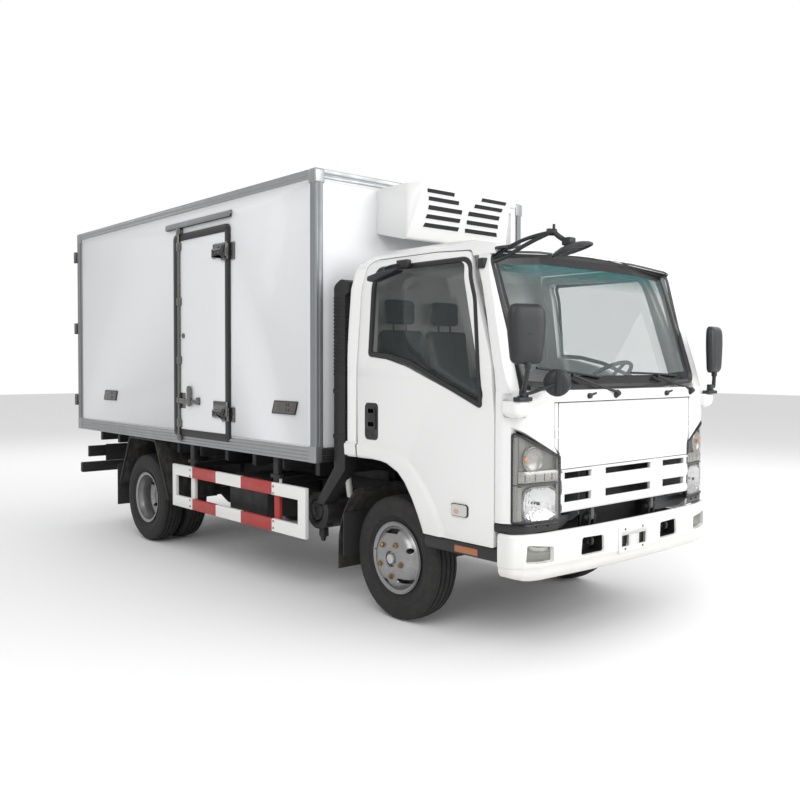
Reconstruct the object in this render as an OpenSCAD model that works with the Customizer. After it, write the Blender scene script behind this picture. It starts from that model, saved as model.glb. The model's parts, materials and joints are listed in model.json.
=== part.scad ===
// Light cab-over refrigerated truck with a tilting cab, an insulated box
// with a side door and two rear doors, steered front wheels and twin rear
// wheels. Every module is drawn with Y measured from the front axle; the
// truck faces -Y and its left side is +X. from_axle() then moves it so that
// the origin lies on the ground at the centre of the whole outline.

/* [Running gear] */
// Distance between the axles
wheelbase = 3360; // [3200:10:3800]
// Outer radius of a tyre
tyre_r = 387.5; // [370:0.5:400]
// Width of a tyre
tyre_w = 200; // [180:1:205]
// Radius of the rim flange
rim_r = 225; // [215:1:235]
// Width over both rim flanges
rim_w = 165; // [150:1:170]
// Outer face of a front rim from the centre line
front_rim_x = 871; // [860:1:885]
// Outer face of the outer rear rim from the centre line
rear_rim_x = 961; // [950:1:970]
// Distance between the middles of two twin tyres
twin_pitch = 232; // [225:1:240]
// Kingpin from the centre line
kingpin_x = 700; // [690:1:705]
// Radius of a kingpin
kingpin_r = 15; // [12:0.5:18]
// Radius of a front spindle
spindle_r = 22; // [18:1:26]
// Radius of a rear axle tube
axle_tube_r = 45; // [38:1:50]
// Reach of a steering arm behind its kingpin
steer_arm = 150; // [120:5:170]

/* [Frame] */
// Half of the width over the frame rails
frame_hw = 350; // [330:1:370]
// Height of a rail
rail_h = 180; // [150:5:190]
// Width of a rail flange
rail_flange = 60; // [45:1:70]
// Thickness of rail and crossmember plate
rail_t = 6; // [5:0.5:10]
// Top of the rails above the ground
rail_top = 750; // [740:5:760]
// Front end of the rails ahead of the axle
rail_front = 1000; // [960:5:1010]
// Width of a leaf spring
spring_w = 60; // [50:1:65]

/* [Insulated box] */
// Length of the box
box_l = 4140; // [3900:10:4400]
// Width of the box
box_w = 2030; // [1980:10:2100]
// Height of the box
box_h = 1960; // [1800:10:2100]
// Underside of the box above the ground
box_z = 931; // [915:1:940]
// Front of the box behind the front axle
box_y = 659; // [640:1:700]
// Thickness of the insulated walls and doors
wall_t = 80; // [60:1:90]
// Thickness of the insulated floor
floor_t = 110; // [90:1:120]
// Height of the aluminium rail along the bottom edge
bottom_rail_h = 100; // [80:1:110]
// Height of the aluminium rail along the top edge
top_rail_h = 60; // [45:1:80]
// Width of the opening for the side door
side_door_w = 800; // [700:5:900]
// Height of the opening for the side door
side_door_h = 1590; // [1400:5:1620]
// Front edge of that opening behind the front of the box
side_door_y = 1150; // [1000:5:1400]
// Sill of that opening above the underside of the box
side_door_sill = 112; // [111:1:160]
// Gap round a box door
door_gap = 8; // [6:0.5:12]

/* [Cab] */
// Distance between the number plate holes across the truck
plate_x = 176; // [150:1:200]
// Distance between the number plate holes up and down
plate_z = 116; // [80:1:130]
// Radius of the number plate holes
plate_hole_r = 4; // [3:0.5:5]
// Half of the width of the cab
cab_hw = 960; // [940:1:975]
// Front of the cab ahead of the axle
cab_front = 1105; // [1095:1:1115]
// Rear of the cab behind the axle
cab_rear = 400; // [380:1:420]
// Top of the cab roof
cab_top = 2360; // [2340:1:2380]
// Thickness of the cab panels
cab_skin = 30; // [20:1:40]
// Thickness of a cab door
cab_door_t = 60; // [50:1:70]
// Gap round a cab door
cab_gap = 8; // [7:0.5:10]
// Thickness of the glass
glass_t = 6; // [4:0.5:8]
// Cab tilt pivot ahead of the axle
tilt_y = 1050; // [1045:1:1055]
// Cab tilt pivot above the ground
tilt_z = 720; // [715:1:724]
// Radius of the bores in the front towing eyes
tow_r = 14; // [12:0.5:18]
// Radius of the cab tilt pins
tilt_pin_r = 14; // [10:0.5:16]
// Outer edge of the side mirrors from the centre line
mirror_x = 1110; // [1095:1:1130]
// Front of the look-down mirror ahead of the axle
mirror_front = 1360; // [1340:1:1380]

/* [Hidden] */
$fn = 48;

// Clearance between a pin or spindle and its bore
running_fit = 0.06;
// Clearance between pieces that sit together on one body
seat_fit = 0.3;
// Depth of the door gear behind the box
door_gear = 45;
box_rear = box_y + box_l;
box_top = box_z + box_h;
box_hw = box_w / 2;
whole_front = -mirror_front;
whole_rear = box_rear + door_gear;
whole_mid = (whole_front + whole_rear) / 2;
front_wheel_x = front_rim_x - rim_w / 2;
rear_outer_x = rear_rim_x - rim_w / 2;
rear_inner_x = rear_outer_x - twin_pitch;
rail_bottom = rail_top - rail_h;

// Moves a piece from the front axle's frame to the frame of the whole truck
module from_axle() {
  translate([0, -whole_mid, 0]) children();
}

// Draws a piece and its mirror image on the other side
module both_sides() {
  children();
  mirror([1, 0, 0]) children();
}

function unit(v) = v / norm(v);

// One corner of an outline as an arc of n steps
function corner(p, a, b, r, n) =
  let (
    u = unit(a - p),
    w = unit(b - p),
    half = acos(u * w) / 2,
    c = p + unit(u + w) * (r / sin(half)),
    s = p + u * (r / tan(half)),
    e = p + w * (r / tan(half)),
    a0 = atan2(s.y - c.y, s.x - c.x),
    a1 = atan2(e.y - c.y, e.x - c.x),
    sweep = (a1 - a0 + 540) % 360 - 180
  )
  [for (i = [0:n]) c + r * [cos(a0 + sweep * i / n), sin(a0 + sweep * i / n)]];

// An outline of [x, y, corner radius] points with its corners rounded
function rounded(pts, n = 6) =
  let (m = len(pts))
  [for (i = [0:m - 1])
    let (p = pts[i], a = pts[(i + m - 1) % m], b = pts[(i + 1) % m])
    each (p[2] > 0
      ? corner([p.x, p.y], [a.x, a.y], [b.x, b.y], p[2], n)
      : [[p.x, p.y]])];

// Prism of a side view outline of [y, z, radius] points from x0 to x1
module side_prism(pts, x0, x1, n = 6) {
  translate([x0, 0, 0])
    rotate([90, 0, 90])
      linear_extrude(x1 - x0) polygon(rounded(pts, n));
}

// Prism of a front view outline of [x, z, radius] points from y0 to y1
module front_prism(pts, y0, y1, n = 6) {
  translate([0, y1, 0])
    rotate([90, 0, 0])
      linear_extrude(y1 - y0) polygon(rounded(pts, n));
}

// Prism of a plan outline of [x, y, radius] points from z0 to z1
module plan_prism(pts, z0, z1, n = 6) {
  translate([0, 0, z0]) linear_extrude(z1 - z0) polygon(rounded(pts, n));
}

// Block between two corners
module block(a, b) {
  translate(a) cube(b - a);
}

// Bar of radius r along X from x0 to x1 at height z and place y
module bar_x(x0, x1, y, z, r) {
  translate([x0, y, z]) rotate([0, 90, 0]) cylinder(h = x1 - x0, r = r);
}

// Bar of radius r along Y
module bar_y(y0, y1, x, z, r) {
  translate([x, y0, z]) rotate([-90, 0, 0]) cylinder(h = y1 - y0, r = r);
}

// ---------------------------------------------------------------- frame

rail_rear = box_rear - 100;

module frame_rail(side) {
  from_axle() mirror([side < 0 ? 1 : 0, 0, 0])
    difference() {
      block([frame_hw - rail_flange, -rail_front, rail_bottom],
            [frame_hw, rail_rear, rail_top]);
      block([frame_hw - rail_flange - 1, -rail_front - 1, rail_bottom + rail_t],
            [frame_hw - rail_t, rail_rear + 1, rail_top - rail_t]);
    }
}

module frame_rail_left() color([0.06, 0.06, 0.065]) frame_rail(1);

module frame_rail_right() color([0.06, 0.06, 0.065]) frame_rail(-1);

cross_hw = frame_hw - rail_t - seat_fit;
cross_h = 110;
tow_x = 375;
tow_y = 1105;
tow_z = 590;
tow_t = 20;
tilt_lug_x = 300;
tilt_lug_w = 20;

// Pressed crossmembers between the rail webs
module frame_crossmembers() {
  color([0.06, 0.06, 0.065]) from_axle() {
    for (y = [900, 1350, 2150, 2900, 3900, rail_rear - 60]) {
      // The front two stand over the propeller shaft
      up = y < 2000 ? 64 : 0;
      difference() {
        block([-cross_hw, y, rail_bottom + rail_t + seat_fit + up],
              [cross_hw, y + 60, rail_bottom + rail_t + seat_fit + cross_h]);
        block([-cross_hw - 1, y + rail_t, rail_bottom + 2 * rail_t + up],
              [cross_hw + 1, y + 61, rail_bottom + cross_h - rail_t]);
      }
    }
    // Front crossmember ahead of the rails with the cab tilt brackets
    block([-tow_x - 20, -rail_front - 62, rail_bottom + 10],
          [tow_x + 20, -rail_front - seat_fit, rail_top - 90]);
    both_sides() {
      difference() {
        for (x = [tilt_lug_x - 34, tilt_lug_x + 14])
          side_prism([[-tilt_y - 12, rail_top - 100, 0],
                      [-tilt_y + 45, rail_top - 100, 0],
                      [-tilt_y + 24, tilt_z + 24, 20],
                      [-tilt_y - 24, tilt_z + 24, 20]],
                     x, x + tilt_lug_w);
        bar_x(tilt_lug_x - 50, tilt_lug_x + 50, -tilt_y, tilt_z,
              tilt_pin_r + running_fit);
      }
      // Towing eye that reaches through the bumper
      difference() {
        side_prism([[-rail_front - 61.9, rail_bottom + 12, 0],
                    [-rail_front - 61.9, rail_top - 92, 0],
                    [-tow_y - 25, tow_z + 25, 24], [-tow_y - 25, tow_z - 25, 24]],
                   tow_x - tow_t / 2, tow_x + tow_t / 2);
        bar_x(tow_x - tow_t, tow_x + tow_t, -tow_y, tow_z, tow_r);
      }
    }
  }
}

// ------------------------------------------------------- axles, springs

axle_z = tyre_r;
boss_h = 80;

module front_axle_beam() {
  color([0.07, 0.07, 0.075]) from_axle() {
    difference() {
      union() {
        // Dropped beam
        front_prism([[-kingpin_x, axle_z + 25, 0], [-560, axle_z + 25, 40],
                     [-470, axle_z - 5, 40], [470, axle_z - 5, 40],
                     [560, axle_z + 25, 40], [kingpin_x, axle_z + 25, 0],
                     [kingpin_x, axle_z - 25, 0], [560, axle_z - 25, 40],
                     [470, axle_z - 60, 40], [-470, axle_z - 60, 40],
                     [-560, axle_z - 25, 40], [-kingpin_x, axle_z - 25, 0]],
                    -32, 32);
        both_sides()
          translate([kingpin_x, 0, axle_z - boss_h / 2])
            cylinder(h = boss_h, r = 32);
      }
      both_sides()
        translate([kingpin_x, 0, axle_z - boss_h])
          cylinder(h = 2 * boss_h, r = kingpin_r + running_fit);
    }
    // Spring seats on the beam
    both_sides()
      block([frame_hw + 20, -70, axle_z - 5 + seat_fit],
            [frame_hw + 20 + spring_w, 70, axle_z + 20]);
  }
}

// Bent leaf spring of half length l with its lowest face at z, risen by c at
// its ends and thick in the middle, where the leaves lie on each other
module leaf_pack(y, z, l, c, leaves) {
  leaf_t = 9;
  bend_r = (l * l + c * c) / (2 * c);
  steps = 16;
  thick = leaves * leaf_t;
  upper = [for (k = [0:steps]) let (v = -l + 2 * l * k / steps)
    [y + v, z + thick + bend_r - sqrt(bend_r * bend_r - v * v)]];
  lower = [for (k = [steps:-1:0]) let (v = -l + 2 * l * k / steps, m = v / l)
    [y + v, z + thick + bend_r - sqrt(bend_r * bend_r - v * v)
            - leaf_t - (thick - leaf_t) * (1 - m * m)]];
  rotate([90, 0, 90]) linear_extrude(spring_w) polygon(concat(upper, lower));
}

module leaf_springs() {
  color([0.08, 0.08, 0.085]) from_axle() both_sides() {
    translate([frame_hw + 20, 0, 0]) {
      leaf_pack(0, axle_z + 20 + seat_fit, 560, 75, 4);
      // Hangers that hold the spring eyes to the rail
      for (y = [-560, 560])
        side_prism([[y - 30, axle_z + 115, 14], [y + 30, axle_z + 115, 14],
                    [y + 38, rail_top - 60, 0], [y - 38, rail_top - 60, 0]],
                   -19.5, 9);
      translate([0, wheelbase, 0]) {
        leaf_pack(0, axle_z + axle_tube_r + seat_fit, 620, 60, 6);
        for (y = [-620, 620])
          side_prism([[y - 30, axle_z + 140, 14], [y + 30, axle_z + 140, 14],
                      [y + 38, rail_top - 40, 0], [y - 38, rail_top - 40, 0]],
                     -19.5, 18);
      }
    }
  }
}

axle_end_x = rear_outer_x - 60;

module rear_axle() {
  color([0.07, 0.07, 0.075]) from_axle() translate([0, wheelbase, 0]) {
    translate([0, 0, axle_z]) rotate([0, 90, 0]) rotate_extrude() {
      inner = rear_inner_x - 110;
      polygon([[0, -axle_end_x], [axle_tube_r - 5, -axle_end_x], [axle_tube_r - 5, -inner],
               [axle_tube_r, -inner], [axle_tube_r, -210], [135, -120], [150, -60],
               [150, 60], [135, 120], [axle_tube_r, 210], [axle_tube_r, inner],
               [axle_tube_r - 5, inner], [axle_tube_r - 5, axle_end_x], [0, axle_end_x]]);
    }
    bar_y(-230, -60, 0, axle_z, 62);
  }
}

// ------------------------------------------------- engine and auxiliaries

module engine_block() {
  color([0.12, 0.12, 0.125]) from_axle()
    block([-260, -420, 470], [260, 330, 1060]);
}

module drive_line() {
  color([0.10, 0.10, 0.105]) from_axle() {
    // Gearbox
    block([-150, 330 + seat_fit, 480], [150, 850, 760]);
    // Propeller shaft, which slopes down to the rear axle
    shaft_y0 = 850;
    shaft_y1 = wheelbase - 230 - seat_fit;
    drop = 600 - axle_z;
    run = shaft_y1 - shaft_y0;
    translate([0, shaft_y0 - 10, 600])
      rotate([-90 - atan2(drop, run), 0, 0])
        cylinder(h = norm([run, drop]) - 20, r = 38);
  }
}

module radiator() {
  color([0.05, 0.05, 0.055]) from_axle() {
    block([-320, -960, rail_top + 2], [320, -905, 1045]);
    block([-280, -960, 480], [280, -905, rail_top + 2.1]);
  }
}

module fuel_tank() {
  color([0.10, 0.10, 0.105]) from_axle()
    side_prism([[900, 400, 60], [1750, 400, 60], [1750, 730, 60],
                [900, 730, 60]], frame_hw + 30, 860);
}

module battery_box() {
  color([0.09, 0.09, 0.095]) from_axle()
    side_prism([[1500, 430, 15], [2050, 430, 15], [2050, 720, 15],
                [1500, 720, 15]], -860, -frame_hw - 30);
}

cleaner_y = 800;
cleaner_z = 585;
cleaner_r = 125;
duct_x = -880;

module air_cleaner() {
  color([0.06, 0.06, 0.065]) from_axle() {
    bar_x(-900, -560, cleaner_y, cleaner_z, cleaner_r);
    bar_x(-560.1, -frame_hw - 1, cleaner_y, cleaner_z + 40, 45);
    translate([-840, cleaner_y, cleaner_z - cleaner_r - 55])
      cylinder(h = 80, r = 28);
    // Intake duct up behind the cab
    block([duct_x - 45, 455, 900], [duct_x + 45, 575, 2090]);
    hull() {
      block([duct_x - 45, 455, 900], [duct_x + 45, 575, 905]);
      block([duct_x - 40, 700, 640], [duct_x + 60, 790, 645]);
    }
    block([duct_x - 20, cleaner_y - 80, cleaner_z + cleaner_r - 60],
          [duct_x + 60, cleaner_y - 10, cleaner_z + cleaner_r - 10]);
    // Outlet hood turned forward
    side_prism([[455, 2040, 0], [575, 2040, 0], [575, 2110, 40],
                [500, 2150, 30], [420, 2130, 10], [420, 2060, 10]],
               duct_x - 45, duct_x + 45);
  }
}

module silencer() {
  color([0.35, 0.35, 0.36]) from_axle() {
    bar_y(1900, 2500, 200, 480, 90);
    bar_y(1300, 1900.1, 200, 480, 30);
    bar_y(2499.9, 2860, 200, 480, 30);
  }
}

guard_x = 985;
guard_t = 30;

// Frame of a side guard between the axles, with its brackets
module side_guards() {
  color([0.85, 0.85, 0.83]) from_axle() both_sides() {
    difference() {
      block([guard_x - guard_t, 825, 390], [guard_x, 2800, 742]);
      block([guard_x - guard_t - 1, 915, 480], [guard_x + 1, 2745, 652]);
    }
    for (y = [1180, 2480])
      block([frame_hw + seat_fit, y, 732], [guard_x - guard_t + 0.1, y + 45, 777]);
  }
}

module rear_underrun_bar() {
  color([0.05, 0.05, 0.055]) from_axle() {
    block([-1000, box_rear - 50, 485], [1000, box_rear, 585]);
    both_sides()
      side_prism([[box_rear - 50.1, 500, 0], [box_rear - 50.1, 585, 0],
                  [rail_rear + 0.3, rail_top - 20, 0],
                  [rail_rear + 0.3 - 160, rail_top - 20, 0],
                  [rail_rear + 0.3 - 160, rail_bottom + 40, 0]],
                 frame_hw + seat_fit, frame_hw + 12);
  }
}

guard_top = box_z - 8;

// Guards over the twin wheels and flaps behind the front wheels
module mudguards() {
  color([0.04, 0.04, 0.045]) from_axle() both_sides() {
    difference() {
      side_prism([[2853, 418, 0], [3095, guard_top, 30], [3640, guard_top, 30],
                  [3855, 470, 0]], rear_inner_x - 115, 1000);
      side_prism([[2853, 410, 0], [2862, 418, 0], [3101, guard_top - 6, 30],
                  [3633, guard_top - 6, 30], [3846, 470, 0],
                  [3855, 410, 0]], rear_inner_x - 116, 1001);
    }
    // Front flap, curved over the back of the wheel
    difference() {
      translate([620, 0, axle_z]) rotate([0, 90, 0]) cylinder(h = 310, r = 520);
      translate([619, 0, axle_z]) rotate([0, 90, 0]) cylinder(h = 312, r = 513);
      block([618, -600, -200], [932, 330, 1000]);
      block([618, 300, -200], [932, 600, axle_z]);
    }
    block([620, 513.1, 240], [930, 519.9, axle_z]);
    block([frame_hw + seat_fit, 500, 640], [640, 512, 700]);
  }
}

bumper_top = 690;
bumper_low = 430;

plate_zc = 575;

module plate_holes() {
  for (x = [-plate_x / 2, plate_x / 2], z = [plate_zc - plate_z / 2, plate_zc + plate_z / 2])
    bar_y(-1160, -1090, x, z, plate_hole_r);
}

// Curved bumper, open at the back, with its openings
module front_bumper() {
  outline = [[-965, -945, 0], [-965, -1030, 60], [-900, -1075, 60],
             [-780, -1110, 200], [-370, -1138, 600], [0, -1142, 0],
             [370, -1138, 600], [780, -1110, 200], [900, -1075, 60],
             [965, -1030, 60], [965, -945, 0]];
  inner = [[935, -940, 0], [935, -1012, 50], [885, -1046, 50],
           [770, -1080, 180], [370, -1106, 600], [0, -1110, 0],
           [-370, -1106, 600], [-770, -1080, 180], [-885, -1046, 50],
           [-935, -1012, 50], [-935, -940, 0]];
  color([0.88, 0.88, 0.87]) from_axle() {
    difference() {
      intersection() {
        plan_prism(outline, bumper_low, bumper_top, 8);
        front_prism([[-970, 470, 60], [-890, bumper_low, 60],
                     [890, bumper_low, 60], [970, 470, 60],
                     [970, 735, 0], [-970, 735, 0]], -1200, -900);
      }
      plan_prism(inner, bumper_low - 1, bumper_top + 50, 8);
      both_sides() {
        // Towing opening and fog lamp recess
        front_prism([[282, 530, 20], [482, 530, 20], [474, 632, 20],
                     [286, 632, 20]], -1200, -1000);
        front_prism([[700, 530, 15], [885, 530, 15], [875, 632, 15],
                     [700, 612, 15]], -1200, -1000);
      }
      plate_holes();
    }
    // Pad with the four holes for a number plate
    difference() {
      block([-plate_x / 2 - 40, -1148, plate_zc - plate_z / 2 - 22],
            [plate_x / 2 + 40, -1115, plate_zc + plate_z / 2 + 22]);
      plate_holes();
    }
    // Brackets back to the front crossmember
    both_sides()
      block([200, -1112, 590], [240, -rail_front - 62 - seat_fit, 650]);
  }
}

// ------------------------------------------------------------------ box

edge = 3;

liner_t = 3;

module box_floor() {
  color([0.70, 0.71, 0.72]) from_axle() {
    block([-box_hw + edge, box_y + edge, box_z],
          [box_hw - edge, box_rear - wall_t - 2, box_z + floor_t]);
    // Liner between the walls
    block([-box_hw + wall_t + 2, box_y + wall_t + 2, box_z + floor_t - 0.1],
          [box_hw - wall_t - 2, box_rear - wall_t - 4, box_z + floor_t + liner_t]);
    // Bearers that stand on the frame rails
    both_sides()
      block([frame_hw - rail_flange + 2, box_y + 40, rail_top + seat_fit],
            [frame_hw - 2, rail_rear - 20, rail_top + 75]);
    for (i = [0:9]) {
      y = box_y + 120 + i * (box_l - 420) / 9;
      // Shorter over the rear wheels
      half = y > wheelbase - 420 && y < wheelbase + 380 ? 500 : box_hw - 120;
      block([-half, y, rail_top + 74.9], [half, y + 50, box_z + 0.1]);
    }
  }
}

module box_front_wall() {
  color([0.93, 0.93, 0.93]) from_axle()
    block([-box_hw + edge, box_y + edge, box_z + floor_t + seat_fit],
          [box_hw - edge, box_y + wall_t, box_top - wall_t - seat_fit]);
}

// Insulated side wall on the left
module box_wall_left() {
  color([0.93, 0.93, 0.93]) from_axle()
    block([box_hw - wall_t, box_y + wall_t + seat_fit, box_z + floor_t + seat_fit],
          [box_hw - edge, box_rear - wall_t - 2, box_top - wall_t - seat_fit]);
}

sd_y0 = box_y + side_door_y;
sd_y1 = sd_y0 + side_door_w;
sd_z0 = box_z + side_door_sill;
sd_z1 = sd_z0 + side_door_h;

// Insulated side wall on the right, with the opening for the side door
module box_wall_right() {
  color([0.93, 0.93, 0.93]) from_axle()
    difference() {
      block([-box_hw + edge, box_y + wall_t + seat_fit, box_z + floor_t + seat_fit],
            [-box_hw + wall_t, box_rear - wall_t - 2, box_top - wall_t - seat_fit]);
      block([-box_hw - 1, sd_y0, sd_z0], [-box_hw + wall_t + 1, sd_y1, sd_z1]);
    }
}

module box_roof() {
  color([0.90, 0.90, 0.90]) from_axle()
    block([-box_hw + edge, box_y + edge, box_top - wall_t],
          [box_hw - edge, box_rear - wall_t - 2, box_top - edge]);
}

post_w = 60;
rear_frame_y = box_rear - wall_t;

// Aluminium edges of the box, and the frame round the rear doors
module box_edge_rails() {
  color([0.62, 0.63, 0.65]) from_axle()
    difference() {
      block([-box_hw, box_y, box_z], [box_hw, box_rear, box_top]);
      // Inside of the rails, up to the walls they cover
      block([-box_hw + edge, box_y + edge, box_z - 1],
            [box_hw - edge, box_rear - wall_t - 2, box_top - edge]);
      // Rear door opening
      block([-box_hw + post_w - 20, box_rear - wall_t - 3, box_z + floor_t],
            [box_hw - post_w + 20, box_rear + 1, box_top - top_rail_h]);
      // Bare skin of the sides, front and roof between the rails
      block([-box_hw - 1, box_y + post_w, box_z + bottom_rail_h],
            [box_hw + 1, box_rear - wall_t - 20, box_top - top_rail_h]);
      block([-box_hw + post_w, box_y - 1, box_z + bottom_rail_h],
            [box_hw - post_w, box_y + 10, box_top - top_rail_h]);
      block([-box_hw + post_w, box_y + post_w, box_top - 10],
            [box_hw - post_w, box_rear - wall_t - 20, box_top + 1]);
    }
}

unit_hw = 490;
unit_low = 2505;
unit_top = 2815;

module refrigeration_unit() {
  color([0.92, 0.92, 0.92]) from_axle() {
    intersection() {
      side_prism([[box_y - seat_fit, unit_low, 0], [box_y - seat_fit, unit_top, 30],
                  [255, unit_top, 25], [240, unit_top - 25, 10],
                  [345, unit_low - 70, 25]], -unit_hw, unit_hw);
      plan_prism([[-unit_hw, box_y, 0], [-unit_hw, 340, 60], [-425, 235, 50],
                  [425, 235, 50], [unit_hw, 340, 60], [unit_hw, box_y, 0]],
                 unit_low - 100, unit_top + 10);
    }
    // Hose duct down the front of the box
    block([unit_hw + 0.3, box_y - 45, 2800], [900, box_y - seat_fit, 2850]);
    block([850, box_y - 45, 1100], [900, box_y - seat_fit, 2800.1]);
  }
}

// ------------------------------------------------------------------ cab

screen_base_y = -1040;
screen_base_z = 1490;
screen_tilt = 18.5;

// Outer shape of the cab, moved inwards by t
module cab_solid(t) {
  side = [[cab_rear - t, 560, 0], [cab_rear - t, 2300, 60],
          [330, cab_top - 15 - t, 60], [-100, cab_top - t, 900],
          [-520, cab_top - 40 - t, 500], [-800 + t, 2262 - t, 60],
          [screen_base_y + t * 1.05, screen_base_z, 30],
          [-cab_front + 18 + t, 1425, 25], [-cab_front + t, 1370, 60],
          [-cab_front + t, 560, 0]];
  half = side_line(t);
  front = concat([for (i = [5:-1:0]) [-half[i].x, half[i].y, half[i].z]],
                 [for (i = [0:4]) half[i]]);
  low = [[-cab_hw + t, cab_rear + 10, 0], [-cab_hw + t, -960, 60],
         [-900 + t * 0.8, -1062 + t, 90], [-640, -cab_front + t, 300],
         [640, -cab_front + t, 300], [900 - t * 0.8, -1062 + t, 90],
         [cab_hw - t, -960, 60], [cab_hw - t, cab_rear + 10, 0]];
  screen = [[-cab_hw + t, 1700, 0], [-cab_hw + t, 86, 20],
            [-868 + t * 0.7, 30 + t * 0.7, 40], [-450, 2 + t, 600],
            [450, 2 + t, 600], [868 - t * 0.7, 30 + t * 0.7, 40],
            [cab_hw - t, 86, 20], [cab_hw - t, 1700, 0]];
  intersection() {
    side_prism(side, -cab_hw - 1, cab_hw + 1, 6);
    front_prism(front, -cab_front - 1, cab_rear + 1, 6);
    union() {
      plan_prism(low, 540, screen_base_z, 6);
      translate([0, screen_base_y, screen_base_z])
        rotate([-screen_tilt, 0, 0])
          translate([0, 0, -300]) linear_extrude(1500) polygon(rounded(screen, 6));
    }
  }
}

// Wheel arch edge and lower line of the door, from the rear to the front
arch_line = [[272, 1000, 0], [20, 1000, 170], [-170, 920, 150],
             [-350, 640, 60], [-360, 605, 0]];

// Door outline in side view, moved outwards by g
function door_outline(g) = [
  [272 + g, 1000 - g, 0], [20, 1000 - g, 170], [-170 + g, 920, 150],
  [-350 + g, 640, 60], [-360 + g, 605 - g, 0],
  [-912 - g, 605 - g, 10], [-912 - g, 1290, 600], [-886 - g, 1600, 600],
  [-640 - g, 2235 + g, 80], [-300, 2256 + g, 0], [285 + g, 2256 + g, 70]];

// Window in the door in side view, moved outwards by g
function window_outline(g) = [
  [165 + g, 1640 - g, 25], [0, 1622 - g, 150], [-180, 1580 - g, 300],
  [-812 - g, 1362 - g, 20], [-828 - g, 1430, 60],
  [-606 - g, 2178 + g, 60], [200 + g, 2200 + g, 50]];

inner_step = 20;
door_inner = 25;

// Line of the cab's side from the sill to the roof, moved inwards by t
function side_line(t) = [
  [cab_hw - t, 500, 0], [cab_hw - t, 1540, 900], [cab_hw - 44 - t, 2080, 240],
  [cab_hw - 100 - t, 2235, 110], [cab_hw - 260, cab_top - 25 - t, 200],
  [0, cab_top + 5 - t, 0]];

// Layer that follows the side of the cab, from t0 to t1 below its surface
module side_layer(t0, t1) {
  difference() {
    front_prism(concat(side_line(t0), [[0, 500, 0]]), -1000, 500);
    front_prism(concat([[cab_hw - t1, 490, 0]], [for (i = [1:5]) side_line(t1)[i]],
                       [[-1, cab_top - t1, 0], [-1, 490, 0]]), -1001, 501);
  }
}

// A cab door on the left: skin, and a smaller inner layer
module cab_door() {
  difference() {
    union() {
      intersection() {
        side_layer(0, door_inner);
        side_prism(door_outline(0), 700, cab_hw + 5);
      }
      intersection() {
        side_layer(door_inner - 0.1, cab_door_t);
        side_prism(door_outline(-inner_step), 700, cab_hw + 5);
      }
    }
    side_prism(window_outline(0), 600, cab_hw + 10);
  }
}

module door_left() {
  color([0.92, 0.92, 0.91]) from_axle() cab_door();
}

module door_right() {
  color([0.92, 0.92, 0.91]) from_axle() mirror([1, 0, 0]) cab_door();
}

glass_in = 14;

module cab_door_glass() {
  intersection() {
    side_layer(glass_in, glass_in + glass_t);
    side_prism(window_outline(-seat_fit), 600, cab_hw + 5);
  }
}

module door_glass_left() {
  color([0.25, 0.30, 0.30, 0.5]) from_axle() cab_door_glass();
}

module door_glass_right() {
  color([0.25, 0.30, 0.30, 0.5]) from_axle() mirror([1, 0, 0]) cab_door_glass();
}

// Openings that both doors need in the cab shell
module door_holes() {
  both_sides() {
    side_prism(door_outline(cab_gap), cab_hw - door_inner - 6, cab_hw + 9);
    side_prism(door_outline(cab_gap), 700, cab_hw + 9);
  }
}

// Windshield outline in front view, moved outwards by g
function screen_outline(g) = [
  [-838 - g, 1490 - g, 40], [0, 1458 - g, 3000], [838 + g, 1490 - g, 40],
  [862 + g, 2205 + g, 45], [0, 2262 + g, 3000], [-862 - g, 2205 + g, 45]];

// Side view of the roof, moved inwards by t
function roof_line(t) = [
  [cab_rear - t, 2150, 0], [cab_rear - t, 2300 - t, 60],
  [330, cab_top - 15 - t, 60], [-100, cab_top - t, 900],
  [-520, cab_top - 40 - t, 500], [-800 + t, 2262 - t, 60], [-836 + t * 1.5, 2150, 0]];

lower_line = 745;
roof_low = 2205;

// Roof above the doors and the windshield
module cab_roof() {
  color([0.92, 0.92, 0.91]) from_axle()
    difference() {
      intersection() {
        side_prism(roof_line(0), -cab_hw, cab_hw);
        roof_slab(0, cab_rear);
      }
      intersection() {
        side_prism(roof_line(cab_skin), -cab_hw, cab_hw);
        roof_slab(cab_skin, cab_rear);
      }
      block([-1000, -1000, 2100], [1000, cab_rear + 1, roof_low]);
      door_holes();
      front_prism(screen_outline(0), -1300, -500);
    }
}

// Slab with the cab's outline in front view, moved inwards by t
module roof_slab(t, y1) {
  half = side_line(t);
  front_prism(concat(half, [for (i = [4:-1:0]) [-half[i].x, half[i].y, half[i].z]]),
              -1000, y1);
}

// Rear wall with the rear pillars
module cab_rear_wall() {
  color([0.92, 0.92, 0.91]) from_axle() {
    intersection() {
      translate([0, cab_rear - cab_skin, 0])
        front_prism([[-cab_hw, 1000, 0], [-cab_hw, 1540, 900], [-cab_hw + 44, 2080, 0],
                     [-cab_hw + 84, roof_low - seat_fit, 0],
                     [cab_hw - 84, roof_low - seat_fit, 0], [cab_hw - 44, 2080, 0],
                     [cab_hw, 1540, 900], [cab_hw, 1000, 0]], 0, cab_skin);
      plan_prism([[-cab_hw - 1, 300, 0], [cab_hw + 1, 300, 0],
                  [cab_hw + 1, cab_rear, 30], [-cab_hw - 1, cab_rear, 30]], 900, 2400);
    }
    both_sides()
      intersection() {
        side_layer(0, cab_skin);
        block([700, 285 + cab_gap, 1000],
              [cab_hw + 1, cab_rear - cab_skin + 0.1, roof_low - seat_fit]);
      }
  }
}

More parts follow.
